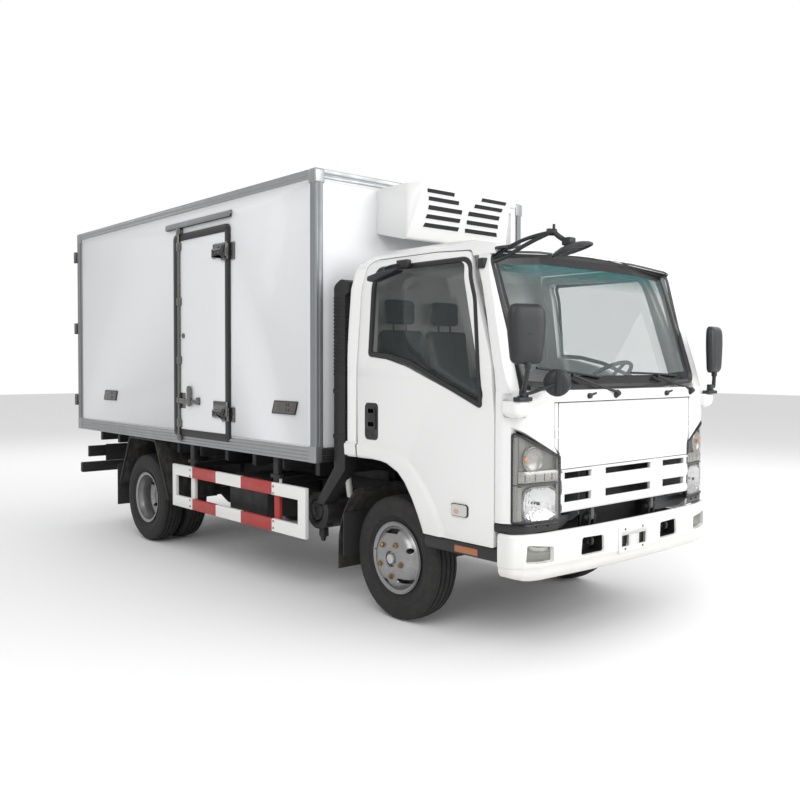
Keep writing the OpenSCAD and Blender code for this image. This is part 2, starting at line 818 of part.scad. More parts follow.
// Plan of the cab below the windshield, moved inwards by t
function low_plan(t) = [
  [-cab_hw + t, -600, 0], [-cab_hw + t, -960, 60],
  [-900 + t * 0.8, -1062 + t, 90], [-640, -cab_front + t, 300],
  [640, -cab_front + t, 300], [900 - t * 0.8, -1062 + t, 90],
  [cab_hw - t, -960, 60], [cab_hw - t, -600, 0]];

// Height of a slot in the grille
slot_h = 38;
lid_outline = [[-636, 785, 6], [636, 785, 6], [642, 1112, 0], [679, 1150, 0],
               [679, 1386, 12], [-679, 1386, 12], [-679, 1150, 0], [-642, 1112, 0]];

// Front panel below the windshield, and the windshield pillars
module cab_front() {
  color([0.92, 0.92, 0.91]) from_axle() {
    difference() {
      plan_prism(low_plan(0), lower_line, 1452);
      plan_prism([for (p = low_plan(cab_skin)) [p.x, p.y == -600 ? -590 : p.y, p[2]]],
                 lower_line - 1, 1425);
      // Room for the lid, the lamps and the doors
      front_prism([[-660, 700, 0], [660, 700, 0], [660, 1112, 0], [683, 1148, 0],
                   [683, 1390, 0], [-683, 1390, 0], [-683, 1148, 0], [-660, 1112, 0]],
                  -1300, -1000);
      both_sides()
        front_prism([[640, 700, 0], [1100, 700, 0], [1100, 1293, 0], [940, 1265, 0],
                     [650, 1103, 0]], -1200, -1008);
      block([-2000, -922, 700], [2000, -500, 1500]);
    }
    both_sides()
      intersection() {
        front_prism([[866, 1440, 0], [cab_hw - 4, 1440, 0], [cab_hw - 6, 1600, 0],
                     [cab_hw - 58, 2120, 0], [cab_hw - 88, roof_low - seat_fit, 0],
                     [842, roof_low - seat_fit, 0]], -1300, -500);
        side_prism([[-1012, 1440, 0], [-922, 1440, 0], [-907, 1564, 0],
                    [-778, 2021, 0], [-708, 2204, 0], [-790, 2204, 0]], 700, 1000);
      }
  }
}

// Lid and grille between the headlamps
module front_lid() {
  color([0.93, 0.93, 0.92]) from_axle()
    difference() {
      intersection() {
        cab_solid(0);
        front_prism(lid_outline, -1200, -1000);
      }
      cab_solid(22);
      for (row = [[963, slot_h + 18], [834, slot_h + 12]]) {
        block([-228, -1200, row[0]], [228, -1000, row[0] + row[1]]);
        both_sides() block([360, -1200, row[0]], [602, -1000, row[0] + row[1]]);
      }
    }
}

function glass_outline() = [
  [-837, 1490.3, 40], [0, 1458.3, 3000], [837, 1490.3, 40],
  [837, 2204.7, 45], [0, 2261.7, 3000], [-837, 2204.7, 45]];

module windshield() {
  color([0.25, 0.32, 0.32, 0.5]) from_axle()
    intersection() {
      difference() {
        cab_solid(2);
        cab_solid(2 + glass_t);
      }
      front_prism(glass_outline(), -1300, -500);
    }
}

// Headlamp in front view on the left, moved outwards by g
function lamp_outline(g) = [
  [648 - g, 745 - g, 10], [1100, 745 - g, 0], [1100, 1290 + g, 0],
  [940, 1262 + g, 10], [655 - g, 1100 + g, 10]];

// Two-storey headlamp round each front corner
module headlamps() {
  color([0.75, 0.77, 0.78]) from_axle() both_sides()
    intersection() {
      difference() {
        cab_solid(2);
        cab_solid(60);
      }
      front_prism(lamp_outline(-2), -1200, -1010);
    }
}

hump_hw = 385;

// Floor with the wheel arches, footwells and the tunnel over the engine
module cab_floor() {
  rear = cab_rear - cab_skin - seat_fit;
  line = [[rear, 1002, 0], [20, 1002, 170], [-185, 925, 150],
          [-420, 640, 0], [-900, 640, 40], [-975, 705, 0],
          [-975, 735, 0], [-900, 665, 40], [-435, 665, 0],
          [-205, 940, 150], [20, 1027, 170], [rear, 1027, 0]];
  color([0.10, 0.10, 0.105]) from_axle() {
    both_sides() side_prism(line, hump_hw, 870);
    // Tunnel
    difference() {
      block([-hump_hw - 12, -1040, 700], [hump_hw + 12, 369, 1162]);
      block([-hump_hw, -1041, 600], [hump_hw, 370, 1150]);
      side_prism([[380, 560, 0], [380, 1001, 0], [20, 1001, 170], [-185, 924, 150],
                  [-420, 639, 0], [-900, 639, 40], [-1060, 758, 0], [-1060, 560, 0]],
                 -900, 900);
    }
    // Lugs on the tilt pins, with the pins
    both_sides() {
      difference() {
        side_prism([[-tilt_y - 20, tilt_z - 20, 18], [-tilt_y + 22, tilt_z - 20, 18],
                    [-tilt_y + 22, 1150, 0], [-tilt_y + 8, 1150, 0],
                    [-tilt_y - 20, tilt_z + 60, 0]],
                   tilt_lug_x - 13, tilt_lug_x + 13);
      }
      bar_x(tilt_lug_x - 32, tilt_lug_x + 32, -tilt_y, tilt_z, tilt_pin_r);
    }
    // Board that ties the lugs to the tunnel
    block([-hump_hw - 12, -1046, 1120], [hump_hw + 12, -1020, 1162]);
  }
}

module dashboard() {
  color([0.08, 0.08, 0.085]) from_axle()
    side_prism([[-1030, 1240, 30], [-880, 1200, 40], [-760, 1240, 50],
                [-760, 1360, 60], [-870, 1414, 60], [-1005, 1420, 20]],
               -825, 825);
}

wheel_c = [400, -640, 1500];

module steering_wheel() {
  color([0.06, 0.06, 0.065]) from_axle()
    translate(wheel_c) rotate([-35, 0, 0]) {
      rotate_extrude() translate([190, 0]) circle(r = 14, $fn = 24);
      translate([0, 0, -25]) cylinder(h = 30, r = 60);
      for (a = [30, 150, 270])
        rotate([0, 0, a]) translate([40, -12, -14]) cube([145, 24, 14]);
      translate([0, 0, -140]) cylinder(h = 120, r = 25);
    }
}

module seats() {
  color([0.10, 0.10, 0.11]) from_axle()
    for (s = [[400, 480], [-180, 400], [-590, 400]]) {
      x = s[0];
      w = s[1] - 20;
      // Cushion, back and head rest
      side_prism([[-320, 1170, 40], [180, 1165, 30], [180, 1290, 50], [-320, 1310, 50]],
                 x - w / 2, x + w / 2);
      side_prism([[130, 1292, 30], [240, 1292, 30], [345, 1850, 40], [235, 1850, 40]],
                 x - w / 2, x + w / 2);
      side_prism([[255, 1852, 20], [340, 1852, 20], [350, 2030, 30], [280, 2030, 30]],
                 x - 130, x + 130);
    }
}

mirror_w = 190;
mirror_t = 50;

// Side mirror with rounded corners; yaw turns its glass to the driver
module side_mirror(side, y, z, yaw) {
  r = mirror_t / 2;
  cx = mirror_x - ((mirror_w / 2 - r) * cos(yaw) + r);
  translate([side * cx, y, z])
    rotate([0, 0, side * yaw])
      translate([0, 0, -150]) linear_extrude(300)
        polygon(rounded([[-mirror_w / 2, -r, r * 0.9], [mirror_w / 2, -r, r * 0.9],
                         [mirror_w / 2, r, r * 0.9], [-mirror_w / 2, r, r * 0.9]], 8));
}

// Arm from a foot on the pillar to the back of a mirror
module mirror_arm(a, b, r) {
  d = b - a;
  translate(a)
    rotate([0, acos(d.z / norm(d)), atan2(d.y, d.x)])
      cylinder(h = norm(d), r = r);
}

module mirrors() {
  color([0.05, 0.05, 0.055]) from_axle() {
    side_mirror(-1, -1184, 1750, 20);
    side_mirror(1, -1087, 1695, 10);
    mirror_arm([-963, -1117, 1460], [-1001, -1163, 1592], 12);
    mirror_arm([965, -1085, 1460], [993, -1086, 1536], 12);
    both_sides() translate([940, -1075, 1357]) cylinder(h = 92, r = 45);
    // Look-down mirror over the right front corner
    translate([-735, -mirror_front + 112, 2190])
      rotate_extrude() polygon([[0, -30], [85, -30], [112, -5],
                                [112, 5], [60, 35], [20, 43], [0, 43]]);
    mirror_arm([-740, -mirror_front + 115, 2252], [-875, -800, 2228], 11);
  }
}

// -------------------------------------------------------------- steering

// Fork, spindle and steering arm of the left knuckle, with its kingpin
module knuckle() {
  fork = boss_h / 2 + 2;
  translate([kingpin_x, 0, axle_z]) {
    difference() {
      union() {
        for (z = [-fork - 24, fork])
          translate([0, 0, z]) cylinder(h = 24, r = 30);
        for (z = [-fork - 24, fork])
          block([0, -25, z], [52, 25, z + 24]);
        block([37, -40, -fork - 24], [55, 40, fork + 24]);
        // Steering arm to the tie rod
        block([-12, 0, -fork - 24], [12, steer_arm, -fork - 6]);
        translate([0, steer_arm, -fork - 24]) cylinder(h = 18, r = 18);
      }
      translate([0, steer_arm, -fork - 40]) cylinder(h = 50, r = 8 + running_fit);
    }
    translate([0, 0, -fork - 26]) cylinder(h = 2 * fork + 52, r = kingpin_r);
    translate([54, 0, 0]) rotate([0, 90, 0])
      cylinder(h = front_rim_x - kingpin_x - 54 - 20, r = spindle_r);
  }
}

module knuckle_left() color([0.09, 0.09, 0.095]) from_axle() knuckle();

module knuckle_right() color([0.09, 0.09, 0.095]) from_axle() mirror([1, 0, 0]) knuckle();

module tie_rod() {
  z = axle_z - boss_h / 2 - 2 - 24 - 22;
  color([0.09, 0.09, 0.095]) from_axle() {
    bar_x(-kingpin_x + 20, kingpin_x - 20, steer_arm, z + 8, 13);
    both_sides()
      translate([kingpin_x, steer_arm, z - 6]) {
        difference() {
          union() {
            cylinder(h = 26, r = 22);
          }
        }
        cylinder(h = 26 + 20, r = 8);
      }
  }
}

// ---------------------------------------------------------------- wheels

// Tyre about the Z axis, its middle at z = 0
module tyre() {
  hw = tyre_w / 2;
  rw = rim_w / 2 - 17;
  seat_r = rim_r - 19 + seat_fit;
  rotate_extrude($fn = 96)
    polygon(rounded([[seat_r, -rw, 6], [rim_r + 12, -rw - 6, 12],
                     [(rim_r + tyre_r) / 2, -hw, 60], [tyre_r - 28, -hw + 12, 30],
                     [tyre_r - 4, -hw + 30, 12], [tyre_r, 0, 0],
                     [tyre_r - 4, hw - 30, 12], [tyre_r - 28, hw - 12, 30],
                     [(rim_r + tyre_r) / 2, hw, 60], [rim_r + 12, rw + 6, 12],
                     [seat_r, rw, 6], [seat_r + 14, rw - 14, 4],
                     [tyre_r - 30, hw - 22, 40], [tyre_r - 24, 0, 0],
                     [tyre_r - 30, -hw + 22, 40], [seat_r + 14, -rw + 14, 4]], 5));
}

// Rim barrel with a disc that meets the hub at height disc_z and the barrel
// rise above it at radius out_r, and a hub with a blind bore
module rim(disc_z, rise, out_r, bore_r, hub_r, hub_z0, hub_z1, cap = 9) {
  hw = rim_w / 2;
  rotate_extrude($fn = 96)
    polygon([[rim_r - 19, -hw + 14], [rim_r - 14, -hw + 12], [rim_r - 3, -hw + 6],
             [rim_r, -hw], [rim_r - 5, -hw], [rim_r - 10, -hw + 4],
             [rim_r - 24, -hw + 8],
             [rim_r - 40, -12], [rim_r - 40, 12],
             [rim_r - 24, hw - 8], [rim_r - 10, hw - 4],
             [rim_r - 5, hw], [rim_r, hw], [rim_r - 3, hw - 6], [rim_r - 14, hw - 12],
             [rim_r - 19, hw - 14],
             [rim_r - 20, hw - 30], [rim_r - 34, 14], [rim_r - 34, -14],
             [rim_r - 20, -hw + 30]]);
  // Disc with hand holes
  difference() {
    rotate_extrude($fn = 96)
      polygon([[bore_r + running_fit, disc_z], [118, disc_z],
               [150, disc_z + rise * 0.1], [out_r, disc_z + rise],
               [out_r, disc_z + rise + 11], [148, disc_z + rise * 0.1 + 11],
               [114, disc_z + 10], [bore_r + running_fit, disc_z + 10]]);
    for (a = [0:72:288])
      rotate([0, 0, a + 36]) translate([150, 0, disc_z - 60])
        cylinder(h = 120, r = 17);
  }
  // Hub
  difference() {
    translate([0, 0, hub_z0]) cylinder(h = hub_z1 - hub_z0, r = hub_r);
    translate([0, 0, hub_z0 - 1])
      cylinder(h = hub_z1 - hub_z0 - cap, r = bore_r + running_fit);
  }
}

// Places a wheel built about Z with its outer face towards +Z
module at_wheel(side, x, y) {
  from_axle()
    translate([side * x, y, axle_z]) rotate([0, side * 90, 0]) children();
}

module front_rim(side) {
  at_wheel(side, front_wheel_x, 0)
    rim(120, -50, rim_r - 24, spindle_r, 62, -28, 128);
}

module front_left_rim() color([0.72, 0.73, 0.75]) front_rim(1);

module front_left_tyre() color([0.05, 0.05, 0.05]) at_wheel(1, front_wheel_x, 0) tyre();

module front_right_rim() color([0.72, 0.73, 0.75]) front_rim(-1);

module front_right_tyre() color([0.05, 0.05, 0.05]) at_wheel(-1, front_wheel_x, 0) tyre();

drum_r = 160;

// Twin rims bolted back to back on one hub and drum
module rear_rims(side) {
  half = twin_pitch / 2;
  at_wheel(side, rear_outer_x - half, wheelbase) {
    translate([0, 0, half])
      rim(-half - 0.1, 50, rim_r - 27, axle_tube_r - 5, 75, -half - 60, -20);
    translate([0, 0, -half]) mirror([0, 0, 1])
      rim(-half - 0.1, 50, rim_r - 27, axle_tube_r - 5, 75.5, -half - 30, -half + 40, -2);
    // Brake drum inside the inner rim
    difference() {
      translate([0, 0, -half - 60]) cylinder(h = 130, r = drum_r);
      translate([0, 0, -half - 61]) cylinder(h = 150, r = axle_tube_r + 5);
    }
    difference() {
      translate([0, 0, -half + 65]) cylinder(h = half - 60, r = 100);
      translate([0, 0, -half + 60]) cylinder(h = half, r = axle_tube_r - 5 + running_fit);
    }
  }
}

module rear_tyres(side) {
  at_wheel(side, rear_outer_x, wheelbase) tyre();
  at_wheel(side, rear_inner_x, wheelbase) tyre();
}

module rear_left_rims() color([0.72, 0.73, 0.75]) rear_rims(1);

module rear_left_tyres() color([0.05, 0.05, 0.05]) rear_tyres(1);

module rear_right_rims() color([0.72, 0.73, 0.75]) rear_rims(-1);

module rear_right_tyres() color([0.05, 0.05, 0.05]) rear_tyres(-1);

// ------------------------------------------------------------- box doors

sd_axis_x = -box_hw - 35;
sd_axis_y = sd_y0 - 40;
hinge_r = 10;
hinge_h = 110;
lip = 35;
lip_gap = 4;
lip_t = 8;
sd_hinges = [sd_z0 + 150, sd_z1 - 230];

module side_door() {
  color([0.93, 0.93, 0.93]) from_axle() {
    // Insulated plug, narrower inside so that it can swing out
    plan_prism([[-box_hw - lip_gap - 1, sd_y0 + door_gap, 0],
                [-box_hw - lip_gap - 1, sd_y1 - door_gap, 0],
                [-box_hw + wall_t, sd_y1 - door_gap - 18, 0],
                [-box_hw + wall_t, sd_y0 + door_gap + 4, 0]],
               sd_z0 + door_gap, sd_z1 - door_gap);
    // Lip over the gasket
    block([-box_hw - lip_gap - lip_t, sd_y0 - lip, sd_z0 - lip],
          [-box_hw - lip_gap, sd_y1 + lip, sd_z1 + 7]);
    for (z = sd_hinges) {
      translate([sd_axis_x, sd_axis_y, z]) cylinder(h = hinge_h, r = hinge_r);
      block([-box_hw - lip_gap - lip_t - 10, sd_axis_y, z],
            [-box_hw - lip_gap - lip_t + 0.1, sd_y0 + 190, z + hinge_h]);
      block([sd_axis_x, sd_axis_y, z],
            [-box_hw - lip_gap - lip_t, sd_axis_y + 8, z + hinge_h]);
    }
    // Lock rod with its keepers
    translate([-box_hw - lip_gap - lip_t - 16, sd_y1 - 50, sd_z0 - 70])
      cylinder(h = side_door_h + 130, r = 11);
    for (z = [sd_z0 + 60, sd_z1 - 120])
      block([-box_hw - lip_gap - lip_t - 25, sd_y1 - 70, z],
            [-box_hw - lip_gap - lip_t + 0.1, sd_y1 - 30, z + 40]);
  }
}

rd_axis_x = box_hw + 20;
rd_axis_y = box_rear + door_gear - hinge_r;
rd_z0 = box_z + floor_t + door_gap;
rd_z1 = box_top - top_rail_h - door_gap;
rd_edge = box_hw - post_w + 20;
rd_hinges = [rd_z0 + 120, (rd_z0 + rd_z1) / 2 - 50, rd_z1 - 220];

module rear_door(side) {
  from_axle() mirror([side < 0 ? 1 : 0, 0, 0]) {
    plan_prism([[door_gap / 2, box_rear, 0], [rd_edge - door_gap - 2, box_rear, 0],
                [rd_edge - door_gap - 2, box_rear - wall_t + 2, 0],
                [door_gap / 2 + 18, box_rear - wall_t + 2, 0]], rd_z0, rd_z1);
    for (z = rd_hinges) {
      translate([rd_axis_x, rd_axis_y, z]) cylinder(h = hinge_h, r = hinge_r);
      block([rd_axis_x - 8, box_rear + 12, z], [rd_axis_x, rd_axis_y, z + hinge_h]);
      block([rd_edge - 160, box_rear - 0.1, z],
            [rd_edge - door_gap - 2, box_rear + 12, z + hinge_h]);
      block([rd_edge - door_gap - 6, box_rear + 6, z],
            [rd_axis_x, box_rear + 12.1, z + hinge_h]);
    }
    for (x = [180, 560]) {
      translate([x, box_rear + 22, rd_z0 - 50]) cylinder(h = rd_z1 - rd_z0 + 100, r = 13);
      for (z = [rd_z0 + 80, (rd_z0 + rd_z1) / 2 + 200, rd_z1 - 160])
        block([x - 30, box_rear - 0.1, z], [x + 30, box_rear + 20, z + 60]);
    }
  }
}

module rear_door_left() color([0.93, 0.93, 0.93]) rear_door(1);

module rear_door_right() color([0.93, 0.93, 0.93]) rear_door(-1);

frame_rail_left();
frame_rail_right();
frame_crossmembers();
front_axle_beam();
leaf_springs();
rear_axle();
engine_block();
drive_line();
radiator();
fuel_tank();
battery_box();
air_cleaner();
silencer();
side_guards();
rear_underrun_bar();
mudguards();
front_bumper();
box_floor();
box_front_wall();
box_wall_left();
box_wall_right();
box_roof();
box_edge_rails();
refrigeration_unit();
cab_floor();
cab_rear_wall();
cab_roof();
cab_front();
front_lid();
windshield();
dashboard();
steering_wheel();
seats();
headlamps();
mirrors();
door_left();
door_right();
door_glass_left();
door_glass_right();
knuckle_left();
knuckle_right();
tie_rod();
front_left_rim();
front_left_tyre();
front_right_rim();
front_right_tyre();
rear_left_rims();
rear_left_tyres();
rear_right_rims();
rear_right_tyres();
side_door();
rear_door_left();
rear_door_right();
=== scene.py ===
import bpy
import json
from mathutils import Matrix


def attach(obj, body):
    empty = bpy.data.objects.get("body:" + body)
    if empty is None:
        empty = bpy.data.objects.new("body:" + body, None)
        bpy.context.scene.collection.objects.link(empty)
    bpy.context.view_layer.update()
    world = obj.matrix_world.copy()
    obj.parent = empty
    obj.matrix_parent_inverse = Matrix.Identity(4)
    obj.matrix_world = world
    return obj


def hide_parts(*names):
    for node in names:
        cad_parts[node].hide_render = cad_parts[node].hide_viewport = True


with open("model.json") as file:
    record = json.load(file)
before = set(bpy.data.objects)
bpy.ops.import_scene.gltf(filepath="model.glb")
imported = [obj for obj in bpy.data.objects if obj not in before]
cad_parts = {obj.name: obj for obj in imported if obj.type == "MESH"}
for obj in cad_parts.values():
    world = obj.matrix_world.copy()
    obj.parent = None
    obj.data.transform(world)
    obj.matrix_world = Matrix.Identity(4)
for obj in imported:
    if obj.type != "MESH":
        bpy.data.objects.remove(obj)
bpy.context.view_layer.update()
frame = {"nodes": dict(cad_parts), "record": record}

import json
import math

import bpy
from mathutils import Euler, Vector

node = frame["nodes"]
scene = bpy.context.scene
SIDES = ((1, "left"), (-1, "right"))
AXLE_TO_MIDDLE = 1.742


# The camera stands ahead of the right front corner at eye height.
# Lengths are measured from the front axle, so place() moves them back by
# the distance from the axle to the middle of the truck.
def place(x, y, z):
    return Vector((x, y - AXLE_TO_MIDDLE, z))


bpy.ops.object.select_all(action="DESELECT")
bpy.ops.object.camera_add(location=place(-4.394, -4.134, 1.599))
camera = bpy.context.object
camera.rotation_euler = (math.radians(88.46), math.radians(-0.14), math.radians(-41.90))
camera.data.lens = 39.45
camera.data.sensor_width = 36.0
camera.data.shift_x = -0.0235
camera.data.shift_y = -0.0164
camera.data.clip_end = 200.0
scene.camera = camera
scene.view_settings.view_transform = "Standard"


# A finish is one material. Its node maths is written as plain expressions on
# signals, which stand for sockets; every other node comes from add().
class Signal:
    def __init__(self, look, socket):
        self.look = look
        self.socket = socket

    def maths(self, operation, a, b):
        return self.look.add("ShaderNodeMath", {0: a, 1: b}, operation=operation)

    def __add__(self, other):
        return self.maths("ADD", self, other)

    def __radd__(self, other):
        return self.maths("ADD", other, self)

    def __sub__(self, other):
        return self.maths("SUBTRACT", self, other)

    def __rsub__(self, other):
        return self.maths("SUBTRACT", other, self)

    def __mul__(self, other):
        return self.maths("MULTIPLY", self, other)

    def __rmul__(self, other):
        return self.maths("MULTIPLY", other, self)

    def __truediv__(self, other):
        return self.maths("DIVIDE", self, other)

    def __gt__(self, other):
        return self.maths("GREATER_THAN", self, other)

    def __lt__(self, other):
        return self.maths("LESS_THAN", self, other)


class Finish:
    def __init__(self, name, colour, **sockets):
        self.material = bpy.data.materials.new(name)
        self.material.use_nodes = True
        self.tree = self.material.node_tree
        self.shader = self.tree.nodes["Principled BSDF"]
        self.shader.inputs["Base Color"].default_value = (*colour, 1.0)
        self.material.diffuse_color = (*colour, 1.0)
        for key, value in sockets.items():
            self.shader.inputs[key.replace("_", " ")].default_value = value

    def add(self, kind, values, output=0, **settings):
        made = self.tree.nodes.new(kind)
        for key, value in settings.items():
            if key == "stops":
                ramp = made.color_ramp
                while len(ramp.elements) < len(value):
                    ramp.elements.new(0.5)
                for element, (position, colour) in zip(ramp.elements, value):
                    element.position = position
                    element.color = (*colour, 1.0)
            else:
                setattr(made, key, value)
        for key, value in values.items():
            if isinstance(value, Signal):
                self.tree.links.new(value.socket, made.inputs[key])
            else:
                made.inputs[key].default_value = value
        return Signal(self, made.outputs[output])

    def feed(self, key, value):
        self.tree.links.new(value.socket, self.shader.inputs[key])

    def along(self, axis):
        spot = self.add("ShaderNodeTexCoord", {}, output="Object")
        return self.add("ShaderNodeSeparateXYZ", {0: spot}, output=axis)

    def noise(self, scale, detail=3.0, stretch=(1.0, 1.0, 1.0)):
        spot = self.add("ShaderNodeTexCoord", {}, output="Object")
        turned = self.add("ShaderNodeMapping", {"Vector": spot, "Scale": stretch})
        return self.add(
            "ShaderNodeTexNoise",
            {"Vector": turned, "Scale": scale, "Detail": detail, "Roughness": 0.55},
        )

    def ripple(self, axis, scale):
        return self.add("ShaderNodeMath", {0: self.along(axis) * scale}, operation="SINE")

    def patchy(self, low, high, *noise):
        self.feed("Roughness", self.span(self.noise(*noise), 0.3, 0.7, low, high))

    def span(self, signal, low, high, to_low, to_high):
        return self.add(
            "ShaderNodeMapRange",
            {0: signal, 1: low, 2: high, 3: to_low, 4: to_high},
        )

    def blend(self, amount, first, second):
        values = {"Factor": amount, 6: first, 7: second}
        for key in (6, 7):
            if not isinstance(values[key], Signal):
                values[key] = (*values[key], 1.0)
        return self.add("ShaderNodeMix", values, output=2, data_type="RGBA")

    def bump(self, height, distance, strength=0.3):
        lift = self.add(
            "ShaderNodeBump",
            {"Height": height, "Distance": distance, "Strength": strength},
        )
        self.feed("Normal", lift)


# The truck stands on a plain pale floor under a plain white sky. Four wide
# soft lamps light it: the strongest from ahead, the next from its right front
# corner, and two weak ones from its left side and from behind.
bpy.ops.object.select_all(action="DESELECT")
bpy.ops.mesh.primitive_plane_add(size=80.0, location=(0.0, 0.0, -0.002))
floor = bpy.context.object
floor.name = "studio_floor"
floor_finish = Finish("studio_floor", (0.92, 0.92, 0.92), Roughness=0.9)
floor.data.materials.append(floor_finish.material)

world = bpy.data.worlds.new("studio")
scene.world = world
world.use_nodes = True
sky = world.node_tree
backdrop = sky.nodes["Background"]
backdrop.inputs["Color"].default_value = (1.0, 1.0, 1.0, 1.0)
seen = sky.nodes.new("ShaderNodeLightPath")
level = sky.nodes.new("ShaderNodeMapRange")
level.inputs["To Min"].default_value = 0.74
level.inputs["To Max"].default_value = 1.0
sky.links.new(seen.outputs["Is Camera Ray"], level.inputs["Value"])
sky.links.new(level.outputs["Result"], backdrop.inputs["Strength"])

for spot, turn, power, width in (
    ((-7.0, -6.5, 7.5), (44.0, 0.0, -46.0), 330.0, 6.0),
    ((3.5, -11.0, 5.0), (66.0, 0.0, 18.0), 620.0, 7.0),
    ((8.0, -1.0, 6.0), (52.0, 0.0, 80.0), 120.0, 6.0),
    ((0.0, 9.0, 7.0), (-48.0, 0.0, 0.0), 160.0, 6.0),
):
    bpy.ops.object.select_all(action="DESELECT")
    bpy.ops.object.light_add(type="AREA", location=spot)
    lamp = bpy.context.object
    lamp.rotation_euler = [math.radians(v) for v in turn]
    lamp.data.energy = power
    lamp.data.size = width


# Gloss white paint over pressed steel. Dust has settled on it low down.
white_paint = Finish(
    "white_paint", (0.76, 0.765, 0.755), Roughness=0.32, Coat_Weight=0.4, Coat_Roughness=0.10
)
height = white_paint.along("Z")
grime = white_paint.noise(6.0, 5.0)
low_down = white_paint.span(height, 0.40, 0.80, 0.42, 0.0)
white_paint.feed(
    "Base Color", white_paint.blend(low_down * (grime + 0.35), (0.76, 0.765, 0.755), (0.50, 0.46, 0.40))
)
white_paint.feed("Roughness", white_paint.span(grime, 0.3, 0.7, 0.28, 0.36))

panel_white = Finish("panel_white", (0.77, 0.78, 0.80), Roughness=0.5, Coat_Weight=0.08)
panel_white.patchy(0.44, 0.54, 2.5, 4.0)

aluminium = Finish("aluminium", (0.36, 0.37, 0.38), Metallic=0.85, Roughness=0.42)
aluminium.patchy(0.34, 0.52, 14.0, 5.0)

chassis_black = Finish("chassis_black", (0.010, 0.010, 0.011), Roughness=0.5)
dust = chassis_black.noise(9.0, 6.0)
chassis_black.feed(
    "Base Color",
    chassis_black.blend(
        chassis_black.span(dust, 0.4, 0.75, 0.0, 0.5), (0.009, 0.009, 0.010), (0.030, 0.027, 0.023)
    ),
)
chassis_black.feed("Roughness", chassis_black.span(dust, 0.3, 0.7, 0.42, 0.75))

black_plastic = Finish("black_plastic", (0.012, 0.012, 0.013), Roughness=0.5)
black_plastic.bump(black_plastic.noise(900.0, 2.0), 0.0004, 0.25)

wheel_silver = Finish("wheel_silver", (0.42, 0.42, 0.43), Metallic=0.7, Roughness=0.38)
wheel_silver.patchy(0.3, 0.5, 25.0, 5.0)

tyre_black = Finish("tyre_black", (0.016, 0.016, 0.016), Roughness=0.75)
tyre_black.bump(tyre_black.noise(400.0, 3.0), 0.0005, 0.3)

tinted_glass = Finish(
    "tinted_glass", (0.75, 0.86, 0.84), Roughness=0.02, Transmission_Weight=1.0, IOR=1.45, Alpha=1.0
)

lamp_lens = Finish("lamp_lens", (0.8, 0.82, 0.83), Roughness=0.1, Metallic=0.8)
seat_cloth = Finish("seat_cloth", (0.045, 0.047, 0.050), Roughness=0.9)
weave = seat_cloth.ripple("X", 1500.0)
weave = weave + seat_cloth.ripple("Z", 1500.0)
seat_cloth.bump(weave, 0.0006, 0.4)
cab_trim = Finish("cab_trim", (0.11, 0.115, 0.12), Roughness=0.7)
cab_trim.bump(cab_trim.noise(350.0, 3.0), 0.0005, 0.3)

looks = {
    "white_paint": white_paint, "panel_white": panel_white, "aluminium": aluminium,
    "chassis_black": chassis_black, "black_plastic": black_plastic,
    "silver_wheel": wheel_silver, "tyre": tyre_black, "glass": tinted_glass,
    "lamp": lamp_lens, "seat_cloth": seat_cloth, "cab_trim": cab_trim,
    "iron": chassis_black, "steel": aluminium,
}
for entry in frame["record"]["subparts"]:
    body = node[entry["node"]]
    body.data.materials.clear()
    body.data.materials.append(looks[entry["material_slot"]].material)
    weld = body.modifiers.new("weld", "WELD")
    weld.merge_threshold = 0.0002
    if entry["material_slot"] not in ("glass", "tyre"):
        edge = body.modifiers.new("edge", "BEVEL")
        edge.width = 0.003
        edge.segments = 2
        edge.limit_method = "ANGLE"
        edge.angle_limit = math.radians(30.0)
        edge.harden_normals = True
    body.data.polygons.foreach_set("use_smooth", [True] * len(body.data.polygons))


# Modelling steps that every new piece goes through: its place is put into
# its mesh, modifiers are applied, and it gets its finish, slot and body.
def alone():
    if bpy.context.object and bpy.context.object.mode != "OBJECT":
        bpy.ops.object.mode_set(mode="OBJECT")
    bpy.ops.object.select_all(action="DESELECT")


def settle(name):
    piece = bpy.context.object
    piece.name = name
    piece.data.name = name
    bpy.ops.object.transform_apply(location=True, rotation=True, scale=True)
    return piece


def take(piece):
    alone()
    piece.select_set(True)
    bpy.context.view_layer.objects.active = piece


def modify(piece, kind, **settings):
    take(piece)
    step = piece.modifiers.new(kind.lower(), kind)
    for key, value in settings.items():
        setattr(step, key, value)
    bpy.ops.object.modifier_apply(modifier=step.name)


def round_edges(piece, width, segments=2, angle=35.0):
    modify(
        piece, "BEVEL", width=width, segments=segments, limit_method="ANGLE",
        angle_limit=math.radians(angle),
    )
    bpy.ops.object.shade_smooth_by_angle(angle=math.radians(angle))


def dress(piece, finish, body):
    piece.data.materials.clear()
    piece.data.materials.append(finish.material)
    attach(piece, body)
    return piece


def block(name, low, high, edge=0.002, segments=2):
    alone()
    low, high = Vector(low), Vector(high)
    bpy.ops.mesh.primitive_cube_add(size=1.0, location=(low + high) / 2, scale=high - low)
    piece = settle(name)
    round_edges(piece, edge, segments)
    return piece


def side_block(name, side, xs, ys, zs, edge=0.002, segments=2):
    near, far = sorted(side * x for x in xs)
    return block(name, place(near, ys[0], zs[0]), place(far, ys[1], zs[1]), edge, segments)


